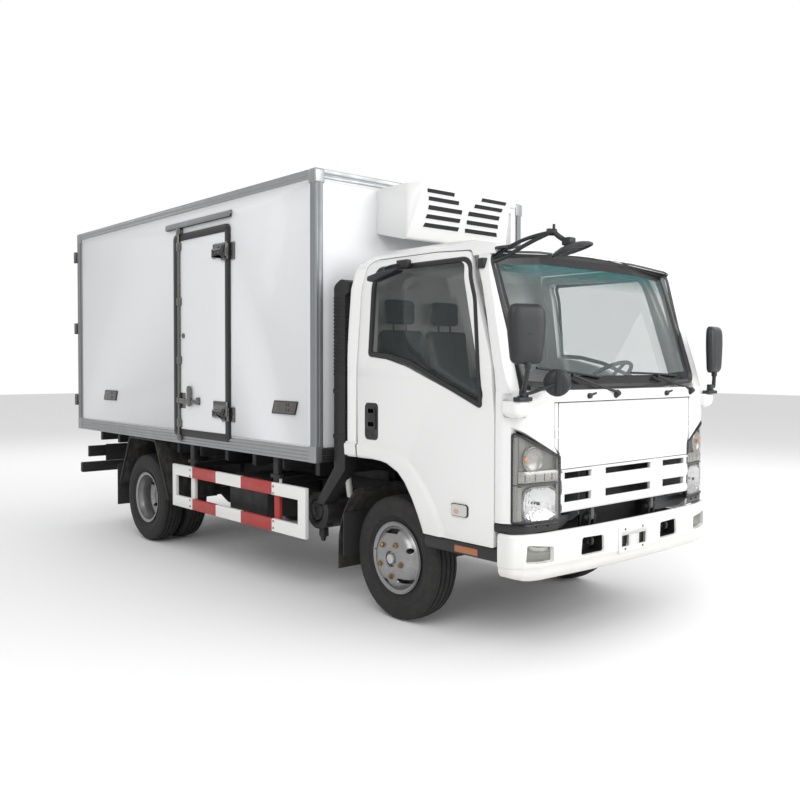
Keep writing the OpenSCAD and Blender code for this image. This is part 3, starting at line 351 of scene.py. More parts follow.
def slab(name, outline, axis, start, end, edge=0.002, segments=2):
    alone()
    bpy.ops.mesh.primitive_circle_add(vertices=len(outline), fill_type="NGON")
    piece = bpy.context.object
    for vertex, (a, b) in zip(piece.data.vertices, outline):
        vertex.co = {"X": (start, a, b), "Y": (a, start, b), "Z": (a, b, start)}[axis]
    push = {"X": (end - start, 0, 0), "Y": (0, end - start, 0), "Z": (0, 0, end - start)}[axis]
    bpy.ops.object.mode_set(mode="EDIT")
    bpy.ops.mesh.select_all(action="SELECT")
    bpy.ops.mesh.extrude_region_move(TRANSFORM_OT_translate={"value": push})
    bpy.ops.mesh.select_all(action="SELECT")
    bpy.ops.mesh.normals_make_consistent(inside=False)
    bpy.ops.object.mode_set(mode="OBJECT")
    piece = settle(name)
    if edge:
        round_edges(piece, edge, segments)
    return piece


def lathe(name, profile, centre, axis="X", steps=72, smooth=30.0):
    alone()
    bpy.ops.mesh.primitive_circle_add(vertices=len(profile), fill_type="NOTHING")
    piece = bpy.context.object
    for vertex, (radius, along) in zip(piece.data.vertices, profile):
        vertex.co = {"X": (along, radius, 0), "Y": (radius, along, 0), "Z": (radius, 0, along)}[axis]
    modify(
        piece, "SCREW", axis=axis, steps=steps, render_steps=steps,
        use_merge_vertices=True, merge_threshold=0.0001,
    )
    bpy.ops.object.mode_set(mode="EDIT")
    bpy.ops.mesh.select_all(action="SELECT")
    bpy.ops.mesh.remove_doubles(threshold=0.0001)
    bpy.ops.mesh.normals_make_consistent(inside=False)
    bpy.ops.transform.translate(value=centre)
    bpy.ops.object.mode_set(mode="OBJECT")
    piece = settle(name)
    bpy.ops.object.shade_smooth_by_angle(angle=math.radians(smooth))
    return piece


def rod(name, start, end, radius, edge=0.0015, sides=32):
    alone()
    start, end = Vector(start), Vector(end)
    bpy.ops.mesh.primitive_cylinder_add(
        vertices=sides, radius=radius, depth=(end - start).length,
        location=(start + end) / 2,
        rotation=(end - start).to_track_quat("Z", "Y").to_euler(),
    )
    piece = settle(name)
    round_edges(piece, edge)
    return piece


def pipe(name, points, radius, sides=4, cyclic=False):
    alone()
    bpy.ops.curve.primitive_bezier_curve_add()
    curve = bpy.context.object
    curve.data.splines.clear()
    line = curve.data.splines.new("NURBS")
    line.points.add(len(points) - 1)
    for point, spot in zip(line.points, points):
        point.co = (*spot, 1.0)
    line.order_u = 3
    line.use_endpoint_u = not cyclic
    line.use_cyclic_u = cyclic
    line.resolution_u = 8
    curve.data.bevel_depth = radius
    curve.data.bevel_resolution = sides
    curve.data.use_fill_caps = True
    curve.data.dimensions = "3D"
    bpy.ops.object.convert(target="MESH")
    piece = settle(name)
    bpy.ops.object.shade_smooth_by_angle(angle=math.radians(40.0))
    return piece


def fuse(name, pieces):
    alone()
    for piece in pieces:
        piece.select_set(True)
    bpy.context.view_layer.objects.active = pieces[0]
    bpy.ops.object.join()
    bpy.context.object.name = name
    bpy.context.object.data.name = name
    return bpy.context.object


def cut(piece, cutter):
    modify(piece, "BOOLEAN", operation="DIFFERENCE", object=cutter, solver="EXACT")
    bpy.data.objects.remove(cutter)


# Tyres of black rubber with four ribs. Grooves run round the tread, short
# slots cross its shoulders, and rings stand on the side walls.
front_axle = place(0.0, 0.0, 0.3875)
rear_axle = place(0.0, 3.36, 0.3875)
TYRE_PROFILE = [
    (0.2065, -0.064), (0.2150, -0.068), (0.2360, -0.0715), (0.2380, -0.0735),
    (0.2440, -0.0760), (0.2600, -0.0885), (0.2620, -0.0912), (0.2650, -0.0915),
    (0.2950, -0.0965), (0.3000, -0.0985), (0.3040, -0.0985), (0.3080, -0.0970),
    (0.3400, -0.0935), (0.3500, -0.0925), (0.3620, -0.0880), (0.3735, -0.0800),
    (0.3790, -0.0755), (0.3800, -0.0700),
    (0.3832, -0.0560), (0.3745, -0.0540), (0.3745, -0.0480), (0.3845, -0.0460),
    (0.3868, -0.0230), (0.3770, -0.0215), (0.3770, -0.0150), (0.3872, -0.0130),
    (0.3875, 0.0130), (0.3770, 0.0150), (0.3770, 0.0215), (0.3868, 0.0230),
    (0.3845, 0.0460), (0.3745, 0.0480), (0.3745, 0.0540), (0.3832, 0.0560),
    (0.3800, 0.0700), (0.3790, 0.0755), (0.3735, 0.0800), (0.3620, 0.0880),
    (0.3500, 0.0925), (0.3400, 0.0935), (0.3080, 0.0970), (0.3040, 0.0985),
    (0.3000, 0.0985), (0.2950, 0.0965), (0.2650, 0.0915), (0.2620, 0.0912),
    (0.2600, 0.0885), (0.2440, 0.0760), (0.2380, 0.0735), (0.2360, 0.0715),
    (0.2150, 0.0680), (0.2065, 0.0640), (0.2200, 0.0500), (0.3500, 0.0700),
    (0.3600, 0.0300), (0.3600, -0.0300), (0.3500, -0.0700), (0.2200, -0.0500),
]


def tyre_finish(name, axle):
    rubber = Finish(name, (0.020, 0.020, 0.0205), Roughness=0.72, Specular_IOR_Level=0.35)
    across = rubber.along("Y") - axle.y
    upward = rubber.along("Z") - axle.z
    turn = rubber.add("ShaderNodeMath", {0: upward, 1: across}, operation="ARCTAN2")
    reach = rubber.add(
        "ShaderNodeMath", {0: across * across + upward * upward, 1: 0.5}, operation="POWER"
    )
    teeth = rubber.add("ShaderNodeMath", {0: turn * 14.0}, operation="FRACT")
    slot = (teeth < 0.14) * (reach > 0.366)
    fine = rubber.add("ShaderNodeMath", {0: turn * 42.0}, operation="FRACT")
    blade = (fine < 0.10) * (reach > 0.3815)
    rings = rubber.add("ShaderNodeMath", {0: reach * 1100.0}, operation="SINE")
    band = (reach > 0.3100) * (reach < 0.3330)
    soil = rubber.noise(30.0, 6.0)
    rubber.feed(
        "Base Color",
        rubber.blend(
            rubber.span(soil, 0.42, 0.72, 0.0, 0.55), (0.016, 0.016, 0.0165), (0.055, 0.050, 0.044)
        ),
    )
    rubber.feed("Roughness", rubber.span(soil, 0.3, 0.7, 0.6, 0.85))
    rubber.bump(0.0 - slot * 1.0 - blade * 0.6 + rings * band * 0.05 + soil * 0.06, 0.006, 0.8)
    return rubber


front_rubber = tyre_finish("front_tyre_rubber", front_axle)
rear_rubber = tyre_finish("rear_tyre_rubber", rear_axle)
for side, word in SIDES:
    tyre = lathe(
        f"front_{word}_ribbed_tyre", TYRE_PROFILE, front_axle + Vector((side * 0.7885, 0, 0)), steps=120
    )
    dress(tyre, front_rubber, f"wheel_front_{word}")
    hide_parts(f"front_{word}_tyre")
    pair = [
        lathe(f"rear_{word}_tyre_{k}", TYRE_PROFILE, rear_axle + Vector((side * x, 0, 0)), steps=120)
        for k, x in enumerate((0.8785, 0.6465))
    ]
    tyres = fuse(f"rear_{word}_ribbed_tyres", pair)
    dress(tyres, rear_rubber, f"wheels_rear_{word}")
    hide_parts(f"rear_{word}_tyres")


# Pressed steel wheels, painted silver. A welded disc with five hand holes
# carries each rim, five studs hold it, and the front hubs stand proud.
silver = Finish("wheel_silver_paint", (0.30, 0.30, 0.30), Metallic=0.75, Roughness=0.30)
silver_soil = silver.noise(38.0, 6.0)
silver.feed(
    "Base Color",
    silver.blend(silver.span(silver_soil, 0.50, 0.80, 0.0, 0.35), (0.30, 0.30, 0.30), (0.17, 0.15, 0.13)),
)
silver.feed("Roughness", silver.span(silver_soil, 0.3, 0.7, 0.26, 0.38))
brass_nut = Finish("brass_nut", (0.27, 0.20, 0.11), Metallic=0.75, Roughness=0.40)
brass_nut.patchy(0.28, 0.5, 120.0, 4.0)
hub_steel = Finish("hub_cap_grey", (0.50, 0.50, 0.50), Metallic=0.6, Roughness=0.34)
hub_steel.patchy(0.25, 0.5, 90.0, 4.0)

RIM_OUTER = [
    (0.2050, -0.0680), (0.2110, -0.0700), (0.2190, -0.0745), (0.2225, -0.0800),
    (0.2250, -0.0825), (0.2235, -0.0812), (0.2195, -0.0775), (0.2120, -0.0745),
    (0.2010, -0.0735), (0.1990, -0.0600), (0.1870, -0.0300), (0.1850, -0.0120),
    (0.1850, 0.0180), (0.1880, 0.0320), (0.1985, 0.0560), (0.2015, 0.0740),
    (0.2110, 0.0752), (0.2185, 0.0785), (0.2215, 0.0815), (0.2235, 0.0825),
    (0.2250, 0.0815), (0.2240, 0.0775), (0.2195, 0.0735), (0.2110, 0.0700),
    (0.2050, 0.0680), (0.2030, 0.0540), (0.1925, 0.0280), (0.1895, 0.0150),
    (0.1895, -0.0100), (0.1920, -0.0280), (0.2030, -0.0560),
]
FRONT_DISC = [
    (0.0480, 0.1120), (0.0480, 0.1240), (0.0500, 0.1275), (0.0540, 0.1290),
    (0.0800, 0.1310), (0.1060, 0.1312), (0.1240, 0.1290), (0.1390, 0.1245),
    (0.1530, 0.1180), (0.1660, 0.1090), (0.1770, 0.0980), (0.1860, 0.0850),
    (0.1925, 0.0730), (0.1970, 0.0690), (0.2035, 0.0680), (0.2020, 0.0620),
    (0.1950, 0.0620), (0.1880, 0.0660), (0.1810, 0.0790), (0.1720, 0.0920),
    (0.1610, 0.1030), (0.1490, 0.1115), (0.1360, 0.1180), (0.1220, 0.1225),
    (0.1050, 0.1245), (0.0800, 0.1243), (0.0600, 0.1215), (0.0560, 0.1180),
    (0.0560, 0.1120),
]
REAR_DISC = [
    (0.0700, -0.1160), (0.0700, -0.1020), (0.1180, -0.1020), (0.1260, -0.0990),
    (0.1370, -0.0860), (0.1460, -0.0800), (0.1560, -0.0790), (0.1690, -0.0700),
    (0.1800, -0.0520), (0.1880, -0.0450), (0.1990, -0.0430), (0.1990, -0.0540),
    (0.1900, -0.0560), (0.1780, -0.0800), (0.1600, -0.0900), (0.1450, -0.0920),
    (0.1300, -0.1100), (0.1200, -0.1160),
]


def hexagons(name, centre, side, ring, count, size, depth, phase):
    made = []
    for k in range(count):
        angle = math.radians(phase + 360.0 * k / count)
        spot = centre + Vector((0, ring * math.cos(angle), ring * math.sin(angle)))
        alone()
        bpy.ops.mesh.primitive_cylinder_add(
            vertices=6, radius=size, depth=depth, location=spot, rotation=(angle, math.pi / 2, 0)
        )
        nut = settle(name)
        round_edges(nut, size * 0.12)
        made.append(nut)
        made.append(
            rod(
                name, spot, spot + Vector((side * (depth / 2 + size * 0.55), 0, 0)), size * 0.55, 0.001,
                16
            )
        )
        made.append(
            rod(name, spot - Vector((side * depth / 2, 0, 0)),
                spot - Vector((side * (depth / 2 - 0.004), 0, 0)), size * 1.3, 0.001, 24)
        )
    return fuse(name, made)


def disc_wheel(name, profile, centre, side, ring, reach, start=36.0, size=0.0165):
    disc = lathe(name, [(r, side * a) for r, a in profile], centre, steps=96)
    for k in range(5):
        angle = math.radians(start + 72.0 * k)
        alone()
        bpy.ops.mesh.primitive_cylinder_add(
            vertices=32, radius=size, depth=0.12,
            location=centre + Vector((side * reach, ring * math.cos(angle), ring * math.sin(angle))),
            rotation=(angle, math.pi / 2, 0), scale=(1.0, 1.45, 1.0),
        )
        cut(disc, settle("hand_hole"))
    round_edges(disc, 0.0025, 2, 40.0)
    return disc


for side, word in SIDES:
    hub = front_axle + Vector((side * 0.7885, 0, 0))
    barrel = lathe(f"front_{word}_barrel", [(r, side * a) for r, a in RIM_OUTER], hub, steps=96)
    disc = disc_wheel(f"front_{word}_disc", FRONT_DISC, hub, side, 0.1690, 0.10, 12.0, 0.0168)
    valve = rod(
        "valve", hub + Vector((side * 0.070, 0.192, 0.03)), hub + Vector((side * 0.104, 0.186, 0.03)),
        0.004
    )
    wheel = fuse(f"front_{word}_wheel", [barrel, disc, valve])
    dress(wheel, silver, f"wheel_front_{word}")
    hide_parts(f"front_{word}_rim")
    cap = [
        (0.001, -0.028), (0.060, -0.028), (0.060, 0.060), (0.0545, 0.080), (0.0545, 0.104),
        (0.047, 0.106), (0.034, 0.107), (0.0325, 0.112), (0.0320, 0.128), (0.029, 0.134),
        (0.022, 0.137), (0.010, 0.1385), (0.001, 0.139),
    ]
    nose = lathe(f"front_{word}_hub", [(r, side * a) for r, a in cap], hub)
    dress(nose, hub_steel, f"wheel_front_{word}")
    # A black ring behind the front hand holes is painted shade inside the wheel.
    shade = [
        lathe(
            "shade",
            [(0.150, side * 0.070), (0.196, side * 0.070), (0.196, side * 0.067), (0.150, side * 0.067)],
            hub, steps=64
        )
    ]
    dress(fuse(f"front_{word}_shade", shade), chassis_black, f"wheel_front_{word}")
    nuts = hexagons(
        f"front_{word}_nuts", hub + Vector((side * 0.140, 0, 0)), side, 0.106, 5, 0.0150, 0.018, 48.0
    )
    dress(nuts, brass_nut, f"wheel_front_{word}")

    middle = rear_axle + Vector((side * 0.7625, 0, 0))
    shells = []
    for offset, flip in ((0.116, 1), (-0.116, -1)):
        spot = middle + Vector((side * offset, 0, 0))
        shells.append(lathe("barrel", [(r, side * flip * a) for r, a in RIM_OUTER], spot, steps=96))
        shells.append(disc_wheel("disc", REAR_DISC, spot, side * flip, 0.1640, -0.07))
    drum = [
        (0.001, -0.175), (0.150, -0.175), (0.160, -0.168), (0.160, -0.050), (0.150, -0.045),
        (0.001, -0.045)
    ]
    shells.append(lathe("drum", [(r, side * a) for r, a in drum], middle))
    wheels = fuse(f"rear_{word}_wheels", shells)
    dress(wheels, silver, f"wheels_rear_{word}")
    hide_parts(f"rear_{word}_rims")
    cap = [
        (0.001, -0.058), (0.080, -0.058), (0.082, 0.030), (0.076, 0.036), (0.074, 0.082),
        (0.070, 0.090), (0.050, 0.0955), (0.001, 0.096),
    ]
    nose = lathe(f"rear_{word}_hub", [(r, side * a) for r, a in cap], middle)
    dress(nose, silver, f"wheels_rear_{word}")
    nuts = hexagons(
        f"rear_{word}_nuts", middle + Vector((side * 0.024, 0, 0)), side, 0.102, 5, 0.0165, 0.022, 18.0
    )
    dress(nuts, brass_nut, f"wheels_rear_{word}")


# The cab doors of white painted steel. A thick rubber seal holds each pane,
# a flared lip follows the wheel arch, and a black grip is let into the skin.
def rounded(points, steps=5):
    line = []
    count = len(points)
    for i, (a, b, radius) in enumerate(points):
        spot = Vector((a, b))
        if radius <= 0:
            line.append(spot)
            continue
        back = (Vector(points[i - 1][:2]) - spot).normalized()
        ahead = (Vector(points[(i + 1) % count][:2]) - spot).normalized()
        half = back.angle(ahead) / 2
        middle = spot + (back + ahead).normalized() * (radius / math.sin(half))
        first = spot + back * (radius / math.tan(half)) - middle
        last = spot + ahead * (radius / math.tan(half)) - middle
        start = math.atan2(first.y, first.x)
        sweep = (math.atan2(last.y, last.x) - start + math.pi * 3) % (math.pi * 2) - math.pi
        for k in range(steps + 1):
            angle = start + sweep * k / steps
            line.append(middle + Vector((math.cos(angle), math.sin(angle))) * radius)
    return line


def inset(line, depth):
    area = sum(a.x * b.y - b.x * a.y for a, b in zip(line, line[1:] + line[:1]))
    way = 1 if area > 0 else -1
    moved = []
    for i, spot in enumerate(line):
        along = (line[(i + 1) % len(line)] - line[i - 1]).normalized()
        moved.append(spot + Vector((-along.y, along.x)) * way * depth)
    return moved


def fine(line, gap):
    dense = []
    for spot, following in zip(line, line[1:] + line[:1]):
        parts = max(1, round((following - spot).length / gap))
        dense += [spot.lerp(following, k / parts) for k in range(parts)]
    return dense


def sheet(name, rows, outward, closed=False, thick=0.0, smooth=40.0):
    alone()
    if closed:
        rows = [list(row) + [row[0]] for row in rows]
    across, down = len(rows[0]), len(rows)
    bpy.ops.mesh.primitive_grid_add(x_subdivisions=across - 1, y_subdivisions=down - 1, size=2.0)
    piece = bpy.context.object
    for vertex in piece.data.vertices:
        i = round((vertex.co.x + 1) / 2 * (across - 1))
        j = round((vertex.co.y + 1) / 2 * (down - 1))
        vertex.co = rows[j][i]
    piece = settle(name)
    bpy.ops.object.mode_set(mode="EDIT")
    bpy.ops.mesh.select_all(action="SELECT")
    bpy.ops.mesh.remove_doubles(threshold=0.00001)
    bpy.ops.mesh.normals_make_consistent(inside=False)
    bpy.ops.object.mode_set(mode="OBJECT")
    facing = sum((f.normal * f.area for f in piece.data.polygons), Vector())
    if callable(outward):
        facing = sum(f.normal.dot(outward(f.center)) * f.area for f in piece.data.polygons)
    else:
        facing = facing.dot(Vector(outward))
    if facing < 0:
        bpy.ops.object.mode_set(mode="EDIT")
        bpy.ops.mesh.select_all(action="SELECT")
        bpy.ops.mesh.flip_normals()
        bpy.ops.object.mode_set(mode="OBJECT")
    if thick:
        modify(piece, "SOLIDIFY", thickness=thick, offset=-1.0)
    take(piece)
    bpy.ops.object.shade_smooth_by_angle(angle=math.radians(smooth))
    return piece


cab_side = {}


def skin(z):
    key = round(z, 3)
    if key not in cab_side:
        y = place(0, 0.245, 0).y if z > 1.02 else place(0, -0.6, 0).y
        hit, spot, *_ = node["door_left"].ray_cast(Vector((2.0, y, min(z, 2.24))), Vector((-1, 0, 0)))
        cab_side[key] = spot.x if hit else 0.96
    return cab_side[key]


def on_side(side):
    return lambda y, z, lift: Vector((side * (skin(z) + lift), y - AXLE_TO_MIDDLE, z))


def band(name, line, section, lay, outward, smooth=40.0):
    rows = [[lay(p.x, p.y, lift) for p in inset(line, depth)] for depth, lift in section]
    return sheet(name, rows, outward, closed=True, smooth=smooth)


rubber_seal = Finish("rubber_seal", (0.012, 0.012, 0.013), Roughness=0.45)
rubber_seal.bump(rubber_seal.noise(700.0, 2.0), 0.0003, 0.2)
gloss_black = Finish("gloss_black", (0.010, 0.010, 0.011), Roughness=0.18)
gloss_black.patchy(0.14, 0.26, 40.0, 3.0)

WINDOW = rounded([
    (0.178, 1.640, 0.030), (-0.02, 1.628, 0.150), (-0.22, 1.585, 0.250), (-0.825, 1.345, 0.022),
    (-0.812, 1.500, 0.200), (-0.745, 1.965, 0.300), (-0.655, 2.206, 0.110), (0.190, 2.206, 0.055),
])
SEAL = [(0.0, 0.0), (0.002, 0.004), (0.008, 0.0065), (0.017, 0.005), (0.020, 0.002),
        (0.024, 0.003), (0.029, 0.001), (0.032, -0.012)]
ARCH = [(0.266, 1.006), (0.15, 1.003), (0.03, 0.995), (-0.05, 0.980), (-0.12, 0.945),
        (-0.186, 0.886), (-0.248, 0.803), (-0.300, 0.714), (-0.345, 0.625), (-0.352, 0.607)]
CREST = [(0.266, 1.081), (0.15, 1.078), (0.03, 1.069), (-0.07, 1.054), (-0.165, 1.022),
         (-0.265, 0.962), (-0.350, 0.870), (-0.425, 0.770), (-0.490, 0.662), (-0.505, 0.607)]


def flare(name, side, arch, crest):
    lay = on_side(side)
    rows = []
    for share, lift in ((1.22, 0.0), (1.12, 0.003), (1.04, 0.011), (1.0, 0.015), (0.94, 0.0165),
                        (0.6, 0.0145), (0.2, 0.012), (0.06, 0.010), (0.0, 0.004), (0.0, -0.020)):
        rows.append([
            lay(a[0] + (c[0] - a[0]) * share, a[1] + (c[1] - a[1]) * share, lift)
            for a, c in zip(arch, crest)
        ])
    return sheet(name, rows, (side, 0, 0), smooth=50.0)


for side, word in SIDES:
    lay = on_side(side)
    door = f"cab_door_{word}"
    seal = band(f"window_seal_{word}", fine(WINDOW, 0.03), SEAL, lay, (side, 0, 0))
    dress(seal, rubber_seal, door)
    lip = flare(f"arch_flare_{word}", side, ARCH, CREST)
    dress(lip, white_paint, door)
    rear_lip = flare(
        f"arch_flare_rear_{word}", side, [(0.398, 1.006), (0.34, 1.006), (0.281, 1.006)],
        [(0.398, 1.079), (0.34, 1.081), (0.281, 1.081)],
    )
    dress(rear_lip, white_paint, "cab")

    pill = rounded(
        [(0.070, 1.120, 0.028), (0.200, 1.120, 0.028), (0.200, 1.352, 0.028), (0.070, 1.352, 0.028)]
    )
    middle = Vector((0.135, 1.236))
    dished = [
        (1.0, 0.0), (0.97, 0.003), (0.92, 0.0045), (0.86, 0.0038), (0.80, 0.0022), (0.45, 0.0018),
        (0.02, 0.0018)
    ]
    rows = []
    for share, lift in dished:
        rows.append([lay(*(middle + (p - middle) * share), lift) for p in fine(pill, 0.03)])
    grip = [sheet("grip_cup", rows, (side, 0, 0), closed=True)]
    flap = rounded(
        [(0.088, 1.185, 0.020), (0.182, 1.185, 0.020), (0.182, 1.335, 0.020), (0.088, 1.335, 0.020)]
    )
    grip.append(band("grip_flap", flap, [(0.0, -0.002), (0.001, 0.0045), (0.004, 0.006),
                                         (0.020, 0.007), (0.0465, 0.007)], lay, (side, 0, 0)))
    grip.append(rod("grip_lock", lay(0.135, 1.150, -0.004), lay(0.135, 1.150, 0.004), 0.0125))
    handle = fuse(f"door_grip_{word}", grip)
    dress(handle, gloss_black, door)


# The laminated windshield is bonded into a black rubber surround. A black
# printed edge hides the glue, and a blue-green shade runs along its top.
def front_skin(x, z):
    best = None
    for name in ("windshield", "cab_front", "front_lid", "cab_roof"):
        hit, spot, *_ = node[name].ray_cast(Vector((x, -4.0, z)), Vector((0, 1, 0)))
        if hit and (best is None or spot.y < best):
            best = spot.y
    if z < 1.40:
        return place(0, -1.105, 0).y if best is None else best
    plane = place(0, -1.04 + (z - 1.49) * 0.3346, 0).y
    if best is None or best > plane + 0.12:
        return plane + 0.02 * (x / 0.85) ** 2
    return best


def on_front(x, z, lift):
    return Vector((x, front_skin(x, z) - lift, z))


SCREEN = rounded([
    (-0.838, 1.492, 0.060), (-0.42, 1.468, 0.9), (0.42, 1.468, 0.9), (0.838, 1.492, 0.060),
    (0.866, 2.206, 0.060), (0.45, 2.238, 0.9), (-0.45, 2.238, 0.9), (-0.866, 2.206, 0.060),
])
surround = band(
    "windshield_rubber", fine(SCREEN, 0.05),
    [(-0.014, 0.0), (-0.012, 0.005), (-0.002, 0.0075), (0.010, 0.006), (0.016, 0.001)],
    on_front, (0, -1, 0),
)
dress(surround, rubber_seal, "cab")
printed = band(
    "windshield_black_edge", fine(SCREEN, 0.05), [(0.012, 0.0012), (0.040, 0.0012), (0.062, 0.0012)],
    on_front, (0, -1, 0),
)
dress(printed, gloss_black, "cab")

screen_glass = Finish("screen_glass", (0.16, 0.21, 0.21), Roughness=0.03, Alpha=0.22)
shade = screen_glass.span(screen_glass.along("Z"), 2.05, 2.17, 0.0, 1.0)
screen_glass.feed("Base Color", screen_glass.blend(shade, (0.17, 0.22, 0.22), (0.05, 0.20, 0.20)))
screen_glass.feed("Alpha", screen_glass.span(shade, 0.0, 1.0, 0.22, 0.60))
door_glass = Finish("door_glass", (0.045, 0.055, 0.054), Roughness=0.03, Alpha=0.42)
door_glass.patchy(0.02, 0.05, 5.0, 3.0)
node["windshield"].data.materials[0] = screen_glass.material
clear_glass = Finish("door_glass_clear", (0.30, 0.33, 0.33), Roughness=0.03, Alpha=0.10)
clear_glass.patchy(0.02, 0.05, 5.0, 3.0)
for word, pane in (("left", clear_glass), ("right", door_glass)):
    node[f"door_glass_{word}"].data.materials[0] = pane.material


# Two black wipers park along the foot of the windshield, and two washer jets
# stand on the cowl ahead of them.
def wiper(name, pivot, elbow, tip, blade_start, blade_end):
    parts = [
        rod(
            "wiper_hub", pivot + Vector((0, 0.012, -0.012)), pivot + Vector((0, -0.020, 0.012)), 0.019,
            0.004
        ),
        pipe("wiper_arm", [pivot + Vector((0, -0.016, 0.010)), elbow, tip], 0.0075),
        pipe(
            "wiper_blade",
            [blade_start, (blade_start + blade_end) / 2 + Vector((0, -0.006, 0.004)), blade_end], 0.0070
        ),
        rod("wiper_joint", tip + Vector((0, 0.008, 0)), tip + Vector((0, -0.012, 0)), 0.011),
    ]
    return dress(fuse(name, parts), black_plastic, "cab")


def screen_spot(x, z, lift=0.014):
    return on_front(x, z, lift)


wiper(
    "wiper_right", on_front(-0.135, 1.425, 0.004), on_front(-0.30, 1.478, 0.030),
    screen_spot(-0.46, 1.535, 0.026), screen_spot(-0.72, 1.575), screen_spot(-0.19, 1.520),
)
wiper(
    "wiper_left", on_front(0.675, 1.428, 0.004), on_front(0.53, 1.478, 0.030),
    screen_spot(0.38, 1.525, 0.026), screen_spot(0.12, 1.545), screen_spot(0.64, 1.525),
)
jets = []
for x in (-0.388, 0.390):
    jets.append(rod("jet", on_front(x, 1.418, -0.004), on_front(x, 1.420, 0.016), 0.016, 0.005))
    jets.append(
        rod("jet_tip", on_front(x + 0.01, 1.424, 0.010), on_front(x + 0.052, 1.434, 0.012), 0.006)
    )
dress(fuse("washer_jets", jets), black_plastic, "cab")


# The lamps wrap the front corners. Behind one clear lens sit a round turn lamp
# with an amber bulb, a slotted silver shelf and a faceted main reflector.
CORNER = rounded(
    [(0.40, -1.105, 0), (0.64, -1.105, 0.3), (0.90, -1.062, 0.09), (0.96, -0.96, 0.06), (0.96, -0.50, 0)],
    8
)


def wrap(s):
    travelled = 0.0
    for spot, following in zip(CORNER, CORNER[1:]):
        step = (following - spot).length
        if travelled + step >= s:
            along = (following - spot).normalized()
            return spot + along * (s - travelled), Vector((along.y, -along.x))
        travelled += step
    return CORNER[-1], Vector((1, 0))


def on_corner(side):
    def lay(s, z, lift):
        spot, out = wrap(s)
        spot = spot + out * lift
        return Vector((side * spot.x, spot.y - AXLE_TO_MIDDLE, z))
    return lay


EDGE = next(k / 1000 for k in range(400, 900) if wrap(k / 1000)[0].y > -1.013)
SPLIT = 0.951


def lamp_top(s):
    return 1.094 + (s - 0.242) / (EDGE - 0.242) * 0.141


def fill(name, lay, outward, s0, s1, rows, steps=24):
    made = []
    for z, lift in rows:
        made.append([lay(s0 + (s1 - s0) * k / steps, z, lift) for k in range(steps + 1)])
    return sheet(name, made, outward)


def dish(name, lay, outward, s0, z0, wide, high, profile, steps, square, smooth):
    rows = []
    for share, lift in profile:
        row = []
        for k in range(steps):
            angle = math.tau * (k + 0.5) / steps
            c, d = math.cos(angle), math.sin(angle)
            size = (abs(c) ** square + abs(d) ** square) ** (-1 / square)
            row.append(lay(s0 + wide * share * size * c, z0 + high * share * size * d, lift))
        rows.append(row)
    return sheet(name, rows, outward, closed=True, smooth=smooth)


lens_clear = Finish("lamp_lens_clear", (0.55, 0.57, 0.57), Roughness=0.04, Alpha=0.12)
lens_clear.patchy(0.03, 0.07, 30.0, 3.0)
lamp_grey = Finish("lamp_housing_grey", (0.26, 0.255, 0.24), Metallic=0.6, Roughness=0.38)
ribs = lamp_grey.ripple("X", 1000.0)
lamp_grey.bump(ribs, 0.0012, 0.5)
lamp_silver = Finish("lamp_silver", (0.33, 0.32, 0.30), Metallic=0.7, Roughness=0.30)
lamp_silver.patchy(0.24, 0.40, 60.0, 2.0)
lamp_chrome = Finish("lamp_reflector", (0.66, 0.66, 0.66), Metallic=1.0, Roughness=0.10)
flutes = lamp_chrome.ripple("X", 260.0)
lamp_chrome.bump(flutes * 0.3 + lamp_chrome.noise(60.0, 2.0) * 2.0, 0.003, 0.5)
amber = Finish("amber_bulb", (0.70, 0.22, 0.03), Roughness=0.2)
amber.patchy(0.15, 0.3, 80.0, 2.0)
LAMP = fine(
    rounded(
        [
            (0.240, 0.746, 0.010), (EDGE, 0.750, 0.008), (EDGE, lamp_top(EDGE), 0.016),
            (0.240, lamp_top(0.240), 0.010)
        ]
    ),
    0.02
)

